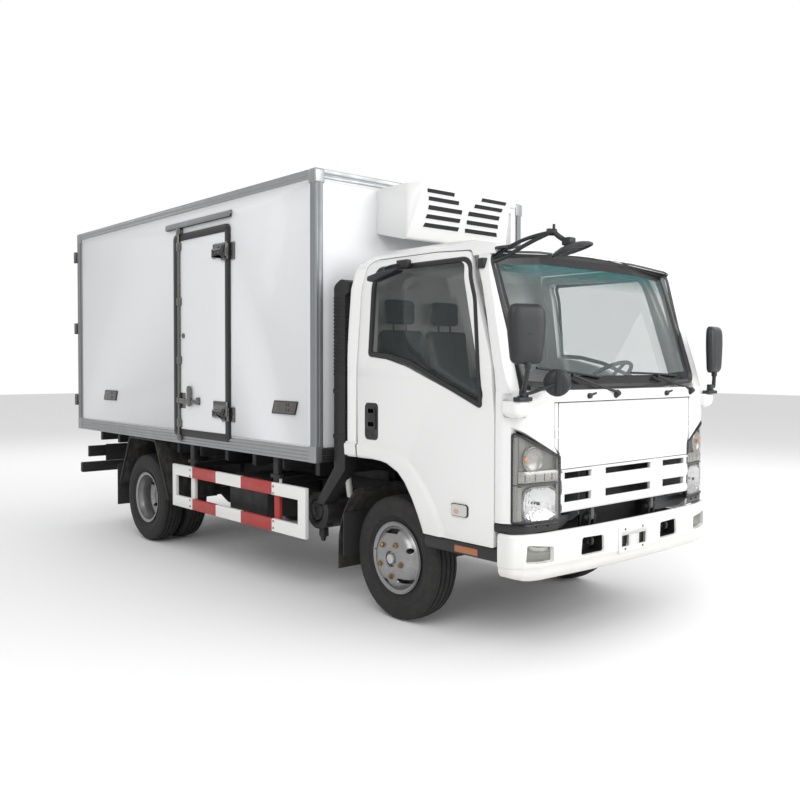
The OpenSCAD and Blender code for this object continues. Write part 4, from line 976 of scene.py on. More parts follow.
for side, word in SIDES:
    lay = on_corner(side)
    outward = (side * 0.6, -1, 0)
    backs = []
    rows = []
    for share in (0.0, 0.2, 0.4, 0.6, 0.8, 1.0):
        row = []
        for k in range(25):
            s = 0.244 + (EDGE - 0.008 - 0.244) * k / 24
            row.append(lay(s, 0.750 + (lamp_top(s) - 0.752) * share, -0.030))
        rows.append(row)
    backs.append(sheet("lamp_back", rows, outward))
    backs.append(
        fill(
            "lamp_outboard", lay, outward, EDGE - 0.030, EDGE - 0.004,
            [
                (0.752, -0.028), (0.756, -0.006), (0.80, -0.005), (1.15, -0.005), (1.205, -0.008),
                (1.212, -0.028)
            ],
            4
        )
    )
    backs.append(
        fill(
            "lamp_inner", lay, outward, 0.244, 0.262,
            [
                (0.752, -0.028), (0.756, -0.008), (0.80, -0.006), (1.05, -0.006), (1.086, -0.008),
                (1.092, -0.028)
            ],
            4
        )
    )
    housing = fuse(f"headlamp_housing_{word}", backs)
    dress(housing, lamp_grey, "cab")
    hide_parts("headlamps")
    gasket = band(
        f"headlamp_gasket_{word}", LAMP,
        [
            (-0.006, -0.004), (-0.005, 0.002), (0.000, 0.004), (0.004, 0.003), (0.007, -0.004),
            (0.008, -0.028)
        ],
        lay, outward
    )
    dark = [
        gasket,
        fill(
            "lamp_split", lay, outward, 0.246, EDGE - 0.002,
            [
                (SPLIT - 0.005, -0.028), (SPLIT - 0.004, -0.003), (SPLIT + 0.004, -0.003),
                (SPLIT + 0.005, -0.028)
            ]
        )
    ]
    # Dark strips on the silver shelf stand for its slots: painted shade in the openings.
    for s in (0.294, 0.346, 0.410, 0.480):
        dark.append(
            fill("shelf_slot", lay, outward, s - 0.002, s + 0.002, [(0.968, -0.003), (1.008, -0.003)], 2)
        )
    centre = 0.372
    tip = lay(centre + 0.010, 0.846, -0.020), lay(centre + 0.010, 0.846, -0.008)
    dark.append(rod("bulb_shield_end", tip[0], tip[1], 0.010, 0.003, 20))
    dress(fuse(f"headlamp_gasket_{word}", dark), rubber_seal, "cab")
    rows = []
    for share in (0.0, 0.12, 0.3, 0.5, 0.7, 0.88, 1.0):
        row = []
        for k in range(25):
            s = 0.244 + (EDGE - 0.003 - 0.244) * k / 24
            row.append(lay(s, 0.749 + (lamp_top(s) - 0.752) * share, 0.002))
        rows.append(row)
    dress(sheet(f"headlamp_lens_{word}", rows, outward), lens_clear, "cab")
    silver_parts = [
        fill(
            "lamp_shelf", lay, outward, 0.250, EDGE - 0.034,
            [
                (0.957, -0.028), (0.959, -0.010), (0.966, -0.005), (1.010, -0.004), (1.022, -0.008),
                (1.026, -0.028)
            ]
        ),
        dish(
            "turn_bowl", lay, outward, 0.420, 1.083, 0.068, 0.068,
            [
                (1.06, -0.028), (1.05, -0.008), (1.0, -0.006), (0.97, -0.010), (0.90, -0.018),
                (0.60, -0.026), (0.25, -0.028), (0.02, -0.0285)
            ],
            40, 2.0, 40.0
        ),
        fill(
            "lamp_strip", lay, outward, 0.498, 0.528,
            [(0.754, -0.027), (0.758, -0.014), (0.85, -0.010), (0.938, -0.014), (0.944, -0.027)], 4
        ),
        dish(
            "main_rim", lay, outward, centre, 0.842, 0.121, 0.094,
            [(1.04, -0.028), (1.03, -0.007), (1.0, -0.005), (0.975, -0.008), (0.965, -0.016)], 40, 3.4,
            40.0
        ),
    ]
    dress(fuse(f"headlamp_shelf_{word}", silver_parts), lamp_silver, "cab")
    main = dish(
        "main_bowl", lay, outward, centre, 0.842, 0.116, 0.090,
        [(1.0, -0.010), (0.86, -0.017), (0.66, -0.023), (0.44, -0.027), (0.22, -0.0285), (0.02, -0.029)],
        14, 3.4, 6.0
    )
    dress(fuse(f"headlamp_reflector_{word}", [main]), lamp_chrome, "cab")
    bulb = rod("amber_glass", lay(0.470, 1.088, -0.026), lay(0.470, 1.088, -0.008), 0.012, 0.005)
    dress(fuse(f"turn_bulb_{word}", [bulb]), amber, "cab")


# Grille bars under the lid: rounded white bars stand proud of the posts, and
# a thin dark joint runs under the lid edge.
def bar(name, z0, z1, half):
    rows = []
    for share, lift in (
        (0.0, -0.006), (0.02, 0.000), (0.10, 0.0055), (0.30, 0.009), (0.6, 0.0095), (0.85, 0.006),
        (0.98, 0.000), (1.0, -0.006)
    ):
        z = z0 + (z1 - z0) * share
        row = []
        for k in range(41):
            x = -half + 2 * half * k / 40
            row.append(on_front(x, z, lift))
        rows.append(row)
    return sheet(name, rows, (0, -1, 0))


bars = [
    bar("grille_bar_top", 1.001, 1.0185, 0.632), bar("grille_bar_upper", 0.880, 0.967, 0.632),
    bar("grille_bar_lower", 0.786, 0.838, 0.632)
]
dress(fuse("grille_bars", bars), white_paint, "cab")
joint = []
rows = [
    [on_front(-0.634 + 1.268 * k / 40, z, lift) for k in range(41)]
    for z, lift in ((1.0195, -0.003), (1.0197, 0.0008), (1.0228, 0.0008), (1.023, -0.003))
]
joint.append(sheet("lid_joint", rows, (0, -1, 0)))
for x in (-0.655, 0.655):
    rows = []
    for dx, lift in ((-0.0022, -0.003), (-0.0020, 0.0008), (0.0020, 0.0008), (0.0022, -0.003)):
        rows.append([on_front(x + dx, 1.022 + 0.366 * k / 24, lift) for k in range(25)])
    joint.append(sheet("lid_joint", rows, (0, -1, 0)))
rows = []
for dz, lift in ((-0.0022, -0.003), (-0.0020, 0.0008), (0.0020, 0.0008), (0.0022, -0.003)):
    rows.append([on_front(-0.655 + 1.310 * k / 40, 1.388 + dz, lift) for k in range(41)])
joint.append(sheet("lid_joint", rows, (0, -1, 0)))
dress(fuse("lid_lower_joint", joint), rubber_seal, "cab")


# The bumper is one white moulding round the front corners. It has fog lamps,
# two openings for the towing eyes, and a bare pad for a number plate.
NOSE = rounded(
    [
        (0.0, -1.142, 0), (0.37, -1.138, 0.6), (0.78, -1.110, 0.2), (0.90, -1.075, 0.06),
        (0.965, -1.03, 0.06), (0.965, -0.945, 0)
    ],
    6
)
NOSE_LINE = []
for spot, following in zip(NOSE, NOSE[1:]):
    parts = max(1, round((following - spot).length / 0.04))
    NOSE_LINE += [spot.lerp(following, k / parts) for k in range(parts)]
NOSE_LINE.append(NOSE[-1])
NOSE_LINE = [Vector((-p.x, p.y)) for p in reversed(NOSE_LINE[1:])] + NOSE_LINE
HEIGHTS = [
    (0.684, 0.025), (0.690, 0.020), (0.6895, 0.010), (0.684, 0.003), (0.672, 0.0), (0.60, -0.0015),
    (0.520, -0.001), (0.508, 0.0015), (0.502, 0.006), (0.480, 0.006), (0.462, 0.009), (0.452, 0.016),
    (0.440, 0.022), (0.433, 0.032), (0.431, 0.050),
]
rows = []
for z, back in HEIGHTS:
    row = []
    for i, spot in enumerate(NOSE_LINE):
        a, b = NOSE_LINE[max(0, i - 1)], NOSE_LINE[min(len(NOSE_LINE) - 1, i + 1)]
        along = (b - a).normalized()
        rise = 0.0
        if z < 0.52 and abs(spot.x) > 0.86:
            rise = (0.52 - z) / 0.09 * min(1.0, (abs(spot.x) - 0.86) / 0.10) * 0.022
        moved = spot + Vector((-along.y, along.x)) * back
        row.append(Vector((moved.x, moved.y - AXLE_TO_MIDDLE, z + rise)))
    rows.append(row)
bumper = sheet("bumper_moulding", rows, (0, -1, 0), thick=0.004)
for side in (1, -1):
    for outline in (
        [(0.282, 0.530, 0.018), (0.484, 0.530, 0.018), (0.474, 0.632, 0.018), (0.286, 0.628, 0.018)],
        [(0.700, 0.530, 0.014), (0.888, 0.536, 0.014), (0.880, 0.634, 0.014), (0.702, 0.612, 0.014)],
    ):
        cut(
            bumper,
            slab(
                "hole", [(side * p.x, p.y) for p in rounded(outline)], "Y", place(0, -1.3, 0).y,
                place(0, -1.02, 0).y, 0
            )
        )
for side in (-1, 1):
    cut(
        bumper,
        block(
            "slit", place(side * 0.086 - 0.036, -1.3, 0.532), place(side * 0.086 + 0.036, -1.1, 0.598),
            0.004
        )
    )
bpy.ops.object.shade_smooth_by_angle(angle=math.radians(40.0))
dress(bumper, white_paint, "chassis")
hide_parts("front_bumper")


def nose_y(x):
    for spot, following in zip(NOSE_LINE, NOSE_LINE[1:]):
        if spot.x <= x <= following.x:
            return spot.y + (following.y - spot.y) * (x - spot.x) / (following.x - spot.x)
    return -1.0


fog_glass = Finish("fog_lamp_glass", (0.24, 0.24, 0.22), Metallic=0.6, Roughness=0.14)
fluting = fog_glass.ripple("X", 700.0)
fog_glass.bump(fluting, 0.001, 0.4)
plate_parts = []
for side, word in SIDES:
    ring = [
        p
        for p in rounded(
            [(0.282, 0.530, 0.018), (0.484, 0.530, 0.018), (0.474, 0.632, 0.018), (0.286, 0.628, 0.018)]
        )
    ]
    rows = []
    for depth, back in ((0.0, 0.001), (0.002, 0.005), (0.004, 0.011)):
        rows.append(
            [Vector((side * p.x, nose_y(p.x) + back - AXLE_TO_MIDDLE, p.y)) for p in inset(ring, depth)]
        )
    tow = sheet("tow_sleeve", rows, (0, -1, 0), closed=True, smooth=50.0)
    rows = []
    for share in (0.0, 1.0):
        rows.append(
            [
                Vector(
                    (
                        side * p.x, (nose_y(p.x) + 0.010) * (1 - share) - 1.045 * share - AXLE_TO_MIDDLE,
                        p.y
                    )
                )
                for p in inset(ring, 0.0035)
            ]
        )
    plate_parts.append(sheet("tow_tunnel", rows, (0, -1, 0), closed=True, thick=0.002))
    ring = rounded(
        [(0.700, 0.530, 0.014), (0.888, 0.536, 0.014), (0.880, 0.634, 0.014), (0.702, 0.612, 0.014)]
    )
    rows = []
    for depth, back in ((0.0, 0.001), (0.003, 0.012), (0.007, 0.022)):
        rows.append(
            [Vector((side * p.x, nose_y(p.x) + back - AXLE_TO_MIDDLE, p.y)) for p in inset(ring, depth)]
        )
    fog = sheet("fog_sleeve", rows, (0, -1, 0), closed=True, smooth=50.0)
    dress(fuse(f"bumper_sleeves_{word}", [tow, fog]), white_paint, "chassis")
    rows = []
    for share in (0.0, 0.25, 0.5, 0.75, 1.0):
        row = []
        for k in range(13):
            x = 0.706 + 0.174 * k / 12
            top = 0.608 + (x - 0.702) / 0.178 * 0.020
            z = 0.537 + (top - 0.537) * share
            bulge = 0.010 * (1 - (2 * share - 1) ** 2) * (1 - (2 * k / 12 - 1) ** 2) ** 0.5
            row.append(Vector((side * x, nose_y(x) + 0.020 - bulge - AXLE_TO_MIDDLE, z)))
        rows.append(row)
    lens = sheet(f"fog_lamp_{word}", rows, (0, -1, 0))
    dress(lens, fog_glass, "chassis")
    plate_parts.append(
        slab(
            "tow_box",
            [(side * x, z) for x, z in ((0.284, 0.532), (0.482, 0.532), (0.472, 0.630), (0.288, 0.626))],
            "Y", place(0, -1.050, 0).y, place(0, -1.044, 0).y
        )
    )
for x in (-0.088, 0.088):
    plate_parts.append(
        block("slit_back", place(x - 0.040, -1.126, 0.528), place(x + 0.040, -1.122, 0.602), 0.001)
    )
    for z in (0.517, 0.633):
        plate_parts.append(
            rod("plate_hole", place(x, -1.1485, z), place(x, -1.138, z), 0.0075, 0.001, 20)
        )
dress(fuse("bumper_dark_parts", plate_parts), black_plastic, "chassis")
pad = block("number_plate_pad", place(-0.150, -1.1478, 0.497), place(0.162, -1.130, 0.655), 0.004)
for side in (-1, 1):
    cut(
        pad,
        block(
            "slit", place(side * 0.086 - 0.036, -1.3, 0.532), place(side * 0.086 + 0.036, -1.1, 0.598),
            0.004
        )
    )
dress(pad, white_paint, "chassis")


repeater_glass = Finish("repeater_glass", (0.55, 0.53, 0.50), Roughness=0.12, Coat_Weight=0.6)
spot_x = repeater_glass.along("Y") + AXLE_TO_MIDDLE + 0.640
spot_z = repeater_glass.along("Z") - 0.772
blob = (spot_x * spot_x + spot_z * spot_z * 2.0) < 0.00040
repeater_glass.feed(
    "Base Color", repeater_glass.blend(blob * 0.55, (0.55, 0.53, 0.50), (0.50, 0.16, 0.05))
)
ridges = repeater_glass.ripple("Y", 900.0)
repeater_glass.bump(ridges, 0.0008, 0.5)


# A black strip fills the gap between lamp and bumper and runs on under the
# door as a sill, with an amber reflector let into it.
orange = Finish("amber_reflector", (0.34, 0.115, 0.030), Roughness=0.3, Coat_Weight=0.4)
prism = orange.ripple("Y", 1200.0)
orange.bump(prism, 0.0006, 0.4)
for side, word in SIDES:
    rows = []
    for z, back in ((0.742, 0.012), (0.738, 0.004), (0.730, 0.002), (0.700, 0.004), (0.694, 0.010)):
        row = []
        for k in range(22):
            spot, out = wrap(0.246 + 0.55 * k / 21)
            spot = spot - out * back
            row.append(Vector((side * spot.x, spot.y - AXLE_TO_MIDDLE, z)))
        rows.append(row)
    strip = sheet(f"lamp_sill_{word}", rows, (side * 0.5, -1, 0))
    screws = [
        rod("screw", place(side * x, y, 0.722), place(side * x, y - 0.006, 0.722), 0.005)
        for x, y in ((0.72, -1.090), (0.80, -1.076))
    ]
    dress(fuse(f"lamp_sill_{word}", [strip] + screws), gloss_black, "cab")
    sill = slab(
        f"door_sill_{word}",
        [
            (y - AXLE_TO_MIDDLE, z)
            for y, z in (
                (-0.365, 0.600), (-0.350, 0.566), (-0.37, 0.530), (-0.93, 0.530), (-0.938, 0.560),
                (-0.93, 0.600)
            )
        ],
        "X", side * 0.925, side * 0.957, 0.006, 3,
    )
    dress(sill, black_plastic, "cab")
    amber_bar = side_block(
        f"sill_reflector_{word}", side, (0.950, 0.9605), (-0.79, -0.61), (0.540, 0.578), 0.003
    )
    dress(amber_bar, orange, "cab")
    lay = on_side(side)
    shape = rounded(
        [(-0.722, 0.742, 0.020), (-0.588, 0.742, 0.014), (-0.588, 0.814, 0.014), (-0.722, 0.814, 0.020)]
    )
    middle = Vector((-0.655, 0.778))
    rows = []
    for share, lift in (
        (1.0, 0.0), (1.0, 0.006), (0.97, 0.008), (0.93, 0.008), (0.91, 0.004), (0.02, 0.004)
    ):
        rows.append([lay(*(middle + (p - middle) * share), lift) for p in fine(shape, 0.03)])
    dress(
        sheet(f"side_repeater_{word}", rows, (side, 0, 0), closed=True), gloss_black,
        f"cab_door_{word}"
    )
    rows = []
    for share, lift in ((0.90, 0.0045), (0.90, 0.011), (0.86, 0.0145), (0.6, 0.016), (0.02, 0.0165)):
        rows.append([lay(*(middle + (p - middle) * share), lift) for p in fine(shape, 0.03)])
    dress(
        sheet(f"repeater_lens_{word}", rows, (side, 0, 0), closed=True), repeater_glass,
        f"cab_door_{word}"
    )


# Mirrors on black tube arms. Tapered plastic housings look back along each
# side; a round one and a wide dish cover the ground by the right front corner.
mirror_plastic = Finish("mirror_plastic", (0.014, 0.015, 0.017), Roughness=0.45)
mirror_plastic.bump(mirror_plastic.noise(500.0, 3.0), 0.0005, 0.35)
mirror_face = Finish("mirror_face", (0.70, 0.72, 0.73), Metallic=1.0, Roughness=0.03)
mirror_face.patchy(0.02, 0.05, 8.0, 3.0)
HOUSING = fine(
    rounded(
        [
            (-0.086, -0.154, 0.036), (0.086, -0.154, 0.036), (0.104, 0.000, 0.30), (0.107, 0.060, 0.10),
            (0.100, 0.154, 0.044), (-0.100, 0.154, 0.044), (-0.107, 0.060, 0.10), (-0.104, 0.000, 0.30),
        ]
    ),
    0.02
)
SHELL = [
    (0.90, -0.018), (0.94, -0.0235), (0.98, -0.0245), (1.0, -0.020), (1.0, -0.004), (0.965, 0.008),
    (0.90, 0.016), (0.78, 0.0215), (0.60, 0.0238), (0.35, 0.0247), (0.02, 0.025),
]


def housing(side, y, z, yaw):
    wide = 0.108 - 0.025
    x = side * (1.110 - (wide * math.cos(math.radians(yaw)) + 0.025))
    turn = math.radians(side * yaw)

    def lay(u, w, lift):
        return Vector(
            (
                x + math.cos(turn) * u + math.sin(turn) * lift,
                y - AXLE_TO_MIDDLE + math.sin(turn) * u - math.cos(turn) * lift, z + w
            )
        )

    ahead = Vector((math.sin(turn), -math.cos(turn), 0))
    rows = [[lay(p.x * share, p.y * share, lift) for p in HOUSING] for share, lift in SHELL]
    shell = sheet("mirror_shell", rows, lambda c: c - Vector((x, y - AXLE_TO_MIDDLE, z)), closed=True)
    rows = [
        [lay(p.x * share, p.y * share, lift) for p in HOUSING]
        for share, lift in ((0.92, -0.0185), (0.5, -0.0190), (0.02, -0.0192))
    ]
    glass = sheet("mirror_glass", rows, tuple(-ahead), closed=True)
    return shell, glass, lay


right_shell, right_glass, right_lay = housing(-1, -1.184, 1.750, 20.0)
left_shell, left_glass, left_lay = housing(1, -1.087, 1.695, 10.0)
dress(right_glass, mirror_face, "cab")
dress(left_glass, mirror_face, "cab")
parts = [right_shell, left_shell]
for side, lay, foot in ((-1, right_lay, (-0.935, -1.088, 1.402)), (1, left_lay, (0.935, -1.088, 1.402))):
    seat = place(*foot)
    low = lay(side * -0.005, -0.148, -0.002)
    parts.append(
        slab(
            "arm_foot",
            [
                (seat.x + dx, seat.y + dy)
                for dx, dy in (
                    (-0.052, -0.030), (0.052, -0.030), (0.058, 0.010), (0.03, 0.036), (-0.03, 0.036),
                    (-0.058, 0.010)
                )
            ],
            "Z", 1.402, 1.424, 0.006, 3
        )
    )
    parts.append(
        rod(
            "arm_pivot", seat + Vector((0, -0.004, 0.018)), seat + Vector((0, -0.004, 0.062)), 0.020,
            0.005, 28
        )
    )
    knee = Vector((low.x, low.y + 0.004, seat.z + 0.046)) if side > 0 else Vector(
        (seat.x - 0.012, seat.y - 0.022, seat.z + 0.060)
    )
    parts.append(
        pipe(
            "arm_tube",
            [
                seat + Vector((0, -0.004, 0.046)), knee, knee, low + Vector((0, 0, -0.035)),
                low + Vector((0, 0, 0.012))
            ],
            0.0125, 5
        )
    )
    parts.append(
        rod("arm_clamp", low + Vector((0, 0, -0.030)), low + Vector((0, 0, 0.004)), 0.018, 0.004, 24)
    )
    for dx in (-0.034, 0.034):
        parts.append(
            rod(
                "foot_bolt", seat + Vector((dx, -0.006, 0.020)), seat + Vector((dx, -0.006, 0.030)),
                0.008, 0.002, 6
            )
        )

# Round mirror low on the right arm, its back toward the road ahead
centre = place(-0.772, -1.192, 1.497)
aim = Vector((-0.62, -0.74, -0.10)).normalized()
turn = aim.to_track_quat("Z", "Y")
alone()
back = lathe(
    "round_back",
    [
        (0.001, 0.026), (0.020, 0.0255), (0.024, 0.021), (0.050, 0.018), (0.066, 0.008), (0.0735, -0.006),
        (0.0735, -0.020), (0.069, -0.022), (0.068, -0.014), (0.001, -0.013)
    ],
    Vector(), "Z", 48
)
take(back)
back.rotation_mode = "QUATERNION"
back.rotation_quaternion = turn
back.location = centre
round_back = settle("round_back")
parts.append(round_back)
parts.append(
    pipe(
        "round_arm",
        [
            place(-0.935, -1.100, 1.436), place(-0.890, -1.140, 1.452), place(-0.830, -1.172, 1.480),
            centre + aim * 0.016
        ],
        0.009, 5
    )
)
strap = block("round_strap", (-0.014, -0.066, 0.018), (0.014, 0.066, 0.034), 0.004, 3)
take(strap)
strap.rotation_mode = "QUATERNION"
strap.rotation_quaternion = turn
strap.location = centre
parts.append(settle("round_strap"))

# Dish mirror on a forked arm from the pillar head, steadied by a roof pad
hold = place(-0.745, -1.120, 2.298)
pillar = place(-0.892, -0.760, 2.150)
parts.append(
    pipe(
        "fork_lower",
        [
            pillar, place(-0.862, -0.800, 2.158), place(-0.815, -0.850, 2.180),
            place(-0.772, -1.010, 2.262), hold
        ],
        0.0115, 5
    )
)
parts.append(
    pipe(
        "fork_upper",
        [
            pillar + Vector((0.012, 0, 0.012)), place(-0.835, -0.800, 2.182),
            place(-0.800, -0.835, 2.232), place(-0.768, -1.000, 2.288), hold
        ],
        0.0105, 5
    )
)
parts.append(
    block(
        "pillar_clamp", pillar + Vector((-0.022, -0.022, -0.028)), pillar + Vector((0.024, 0.022, 0.030)),
        0.006, 3
    )
)
parts.append(
    slab(
        "roof_pad",
        [
            (-0.855, 2.226), (-0.845, 2.244), (-0.775, 2.256), (-0.715, 2.258), (-0.712, 2.244),
            (-0.76, 2.232)
        ],
        "Y", place(0, -0.868, 0).y, place(0, -0.800, 0).y, 0.008, 3
    )
)
parts.append(
    rod(
        "clamp_barrel", hold + Vector((-0.022, 0.012, 0)), hold + Vector((0.024, -0.014, 0)), 0.019,
        0.004, 28
    )
)
parts.append(
    rod(
        "clamp_pin", hold + Vector((0.006, -0.012, -0.012)), hold + Vector((0.006, -0.012, 0.042)),
        0.0075, 0.002, 20
    )
)
dish_centre = place(-0.705, -1.224, 2.206)
parts.append(
    pipe(
        "dish_stem",
        [
            hold + Vector((0.010, -0.010, 0)), place(-0.728, -1.150, 2.276), place(-0.716, -1.190, 2.250),
            dish_centre + Vector((0, 0.012, 0.016))
        ],
        0.014, 5
    )
)
knuckle_block = block(
    "dish_knuckle", dish_centre + Vector((-0.030, -0.010, 0.016)),
    dish_centre + Vector((0.026, 0.046, 0.058)), 0.008, 3
)
parts.append(knuckle_block)
dish_shell = lathe(
    "dish_shell",
    [
        (0.001, 0.026), (0.022, 0.025), (0.060, 0.018), (0.095, 0.006), (0.112, -0.006), (0.114, -0.014),
        (0.110, -0.019), (0.104, -0.017), (0.100, -0.010), (0.001, -0.006)
    ],
    Vector(), "Z", 64
)
take(dish_shell)
dish_shell.rotation_euler = (math.radians(-13.0), math.radians(-12.0), 0.0)
dish_shell.location = dish_centre
parts.append(settle("dish_shell"))

# Small kerb mirror over the right door window
mount = place(-0.905, -0.098, 2.196)
parts.append(
    block(
        "kerb_mount", mount + Vector((-0.012, -0.050, -0.020)), mount + Vector((0.026, 0.050, 0.030)),
        0.006, 3
    )
)
parts.append(
    pipe(
        "kerb_arm",
        [
            mount + Vector((-0.008, 0.03, 0.004)), place(-0.945, -0.030, 2.192),
            place(-0.972, 0.012, 2.172), place(-0.975, -0.010, 2.138)
        ],
        0.008, 5
    )
)
wedge = slab(
    "kerb_housing",
    [
        (y - AXLE_TO_MIDDLE, z)
        for y, z in (
            (0.096, 2.132), (0.100, 2.104), (0.070, 2.096), (-0.155, 2.142), (-0.165, 2.156),
            (-0.02, 2.152)
        )
    ],
    "X", -1.030, -0.955, 0.008, 3
)
parts.append(wedge)
mirrors = dress(fuse("mirror_set", parts), mirror_plastic, "cab")
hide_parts("mirrors")

# White swellings of the cowl corners carry the mirror arms
for side, word in SIDES:
    swell = rounded(
        [
            (0.846, -1.048, 0.02), (0.862, -1.106, 0.030), (0.985, -1.100, 0.040), (1.000, -1.000, 0.04),
            (0.955, -0.955, 0.01)
        ]
    )
    rows = []
    for z, draw in (
        (1.312, 0.046), (1.320, 0.026), (1.334, 0.010), (1.352, 0.003), (1.385, 0.0), (1.397, 0.002),
        (1.401, 0.006), (1.403, 0.014), (1.403, 0.040)
    ):
        rows.append([Vector((side * p.x, p.y - AXLE_TO_MIDDLE, z)) for p in inset(swell, draw)])
    made = sheet(
        f"mirror_swelling_{word}", rows, lambda c, s=side: c - place(s * 0.925, -1.03, 1.36), closed=True
    )
    dress(made, white_paint, "cab")


# Cab interior: padded cloth seats with sewn panels, a moulded dashboard with
# vents and a cowl, a thin-rimmed steering wheel, and pale trim on the walls.
lining = Finish("cab_lining", (0.22, 0.232, 0.235), Roughness=0.8)
lining.bump(lining.noise(260.0, 3.0), 0.0008, 0.3)


def cushion(name, low, high, swell, tilt=0.0, pinch=None):
    alone()
    low, high = Vector(low), Vector(high)
    pad = block(name, low + Vector((0.012, 0.012, 0.012)), high - Vector((0.012, 0.012, 0.012)), 0.028, 4)
    modify(pad, "REMESH", mode="VOXEL", voxel_size=0.014, use_smooth_shade=True)
    before = [v.co.copy() for v in pad.data.vertices]
    take(pad)
    cloth = pad.modifiers.new("cloth", "CLOTH")
    cloth.settings.quality = 4
    cloth.settings.use_pressure = True
    cloth.settings.uniform_pressure_force = 4.0
    cloth.settings.tension_stiffness = 15.0
    cloth.settings.compression_stiffness = 15.0
    cloth.settings.effector_weights.gravity = 0.0
    cloth.collision_settings.use_collision = False
    cloth.point_cache.frame_start = 1
    cloth.point_cache.frame_end = 12
    for step in range(1, 13):
        scene.frame_set(step)
    bpy.ops.object.modifier_apply(modifier="cloth")
    scene.frame_set(1)
    for vertex, start in zip(pad.data.vertices, before):
        move = vertex.co - start
        if move.length > swell:
            vertex.co = start + move.normalized() * swell
        if pinch:
            across = abs(vertex.co.x - (low.x + high.x) / 2) / ((high.x - low.x) / 2)
            groove = math.exp(-((across - pinch) / 0.035) ** 2) * 0.007
            vertex.co -= (start - (low + high) / 2).normalized() * groove
    if tilt:
        bpy.ops.object.mode_set(mode="EDIT")
        bpy.ops.mesh.select_all(action="SELECT")
        bpy.ops.transform.rotate(
            value=math.radians(tilt), orient_axis="X",
            center_override=((low.x + high.x) / 2, high.y, low.z)
        )
        bpy.ops.object.mode_set(mode="OBJECT")
    modify(pad, "SUBSURF", levels=1, render_levels=1)
    bpy.ops.object.shade_smooth()
    dress(pad, seat_cloth, "cab")
    return pad


for k, (x, wide) in enumerate(((0.400, 0.460), (-0.180, 0.380), (-0.590, 0.380))):
    a, b = x - wide / 2, x + wide / 2
    cushion(f"seat_cushion_{k}", place(a, -0.320, 1.168), place(b, 0.180, 1.296), 0.012, 0.0, 0.62)
    cushion(f"seat_back_{k}", place(a, 0.140, 1.300), place(b, 0.240, 1.840), 0.012, 10.5, 0.62)
    cushion(
        f"head_rest_{k}", place(x - 0.135, 0.250, 1.842), place(x + 0.135, 0.335, 2.030), 0.010, 3.0
    )
posts = []
for x, wide in ((0.400, 0.460), (-0.180, 0.380), (-0.590, 0.380)):
    for dx in (-0.055, 0.055):
        posts.append(
            rod("head_rest_post", place(x + dx, 0.292, 1.800), place(x + dx, 0.302, 1.880), 0.006)
        )
    posts.append(
        block(
            "seat_base", place(x - wide / 2 + 0.02, -0.30, 1.150),
            place(x + wide / 2 - 0.02, 0.16, 1.180), 0.006
        )
    )
frames_all = dress(fuse("seat_frames", posts), black_plastic, "cab")
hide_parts("seats")

details = []
for x in (-0.70, -0.52, 0.16, 0.70):
    details.append(block("vent", place(x - 0.062, -0.770, 1.292), place(x + 0.062, -0.752, 1.352), 0.004))
    for k in range(4):
        details.append(
            block(
                "vent_blade", place(x - 0.056, -0.757, 1.300 + 0.013 * k),
                place(x + 0.056, -0.749, 1.304 + 0.013 * k), 0.001
            )
        )
details.append(
    slab(
        "instrument_cowl",
        [
            (y - AXLE_TO_MIDDLE, z)
            for y, z in (
                (-0.90, 1.398), (-0.885, 1.458), (-0.80, 1.470), (-0.748, 1.440), (-0.752, 1.360),
                (-0.80, 1.34)
            )
        ],
        "X", 0.235, 0.565, 0.014, 3
    )
)
details.append(block("centre_stack", place(-0.06, -0.765, 1.215), place(0.20, -0.748, 1.340), 0.008, 3))
for k in range(3):
    details.append(
        rod(
            "heater_knob", place(-0.02 + 0.07 * k, -0.750, 1.250), place(-0.02 + 0.07 * k, -0.728, 1.250),
            0.020, 0.004
        )
    )
details.append(block("glove_box", place(-0.72, -0.766, 1.225), place(-0.36, -0.752, 1.284), 0.006, 3))
dress(fuse("dashboard_details", details), black_plastic, "cab")

hub = place(0.400, -0.640, 1.500)
lean = Euler((math.radians(-35.0), 0.0, 0.0)).to_matrix()


def at_wheel(x, y, z):
    return hub + lean @ Vector((x, y, z))


ring = pipe(
    "wheel_ring",
    [
        at_wheel(0.190 * math.cos(math.tau * k / 24), 0.190 * math.sin(math.tau * k / 24), 0)
        for k in range(24)
    ],
    0.0135, 5, True
)
wheel_parts = [ring]
for angle in (30.0, 150.0, 270.0):
    c, d = math.cos(math.radians(angle)), math.sin(math.radians(angle))
    wheel_parts.append(
        pipe(
            "wheel_spoke",
            [
                at_wheel(0.03 * c, 0.03 * d, -0.012), at_wheel(0.10 * c, 0.10 * d, -0.016),
                at_wheel(0.188 * c, 0.188 * d, 0)
            ],
            0.011, 5
        )
    )
wheel_parts.append(rod("wheel_pad", at_wheel(0, 0, -0.022), at_wheel(0, 0, 0.006), 0.058, 0.012, 40))
wheel_parts.append(rod("wheel_column", at_wheel(0, 0, -0.150), at_wheel(0, 0, -0.018), 0.027, 0.004, 32))
wheel = dress(fuse("steering_wheel_rim", wheel_parts), black_plastic, "cab")
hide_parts("steering_wheel")
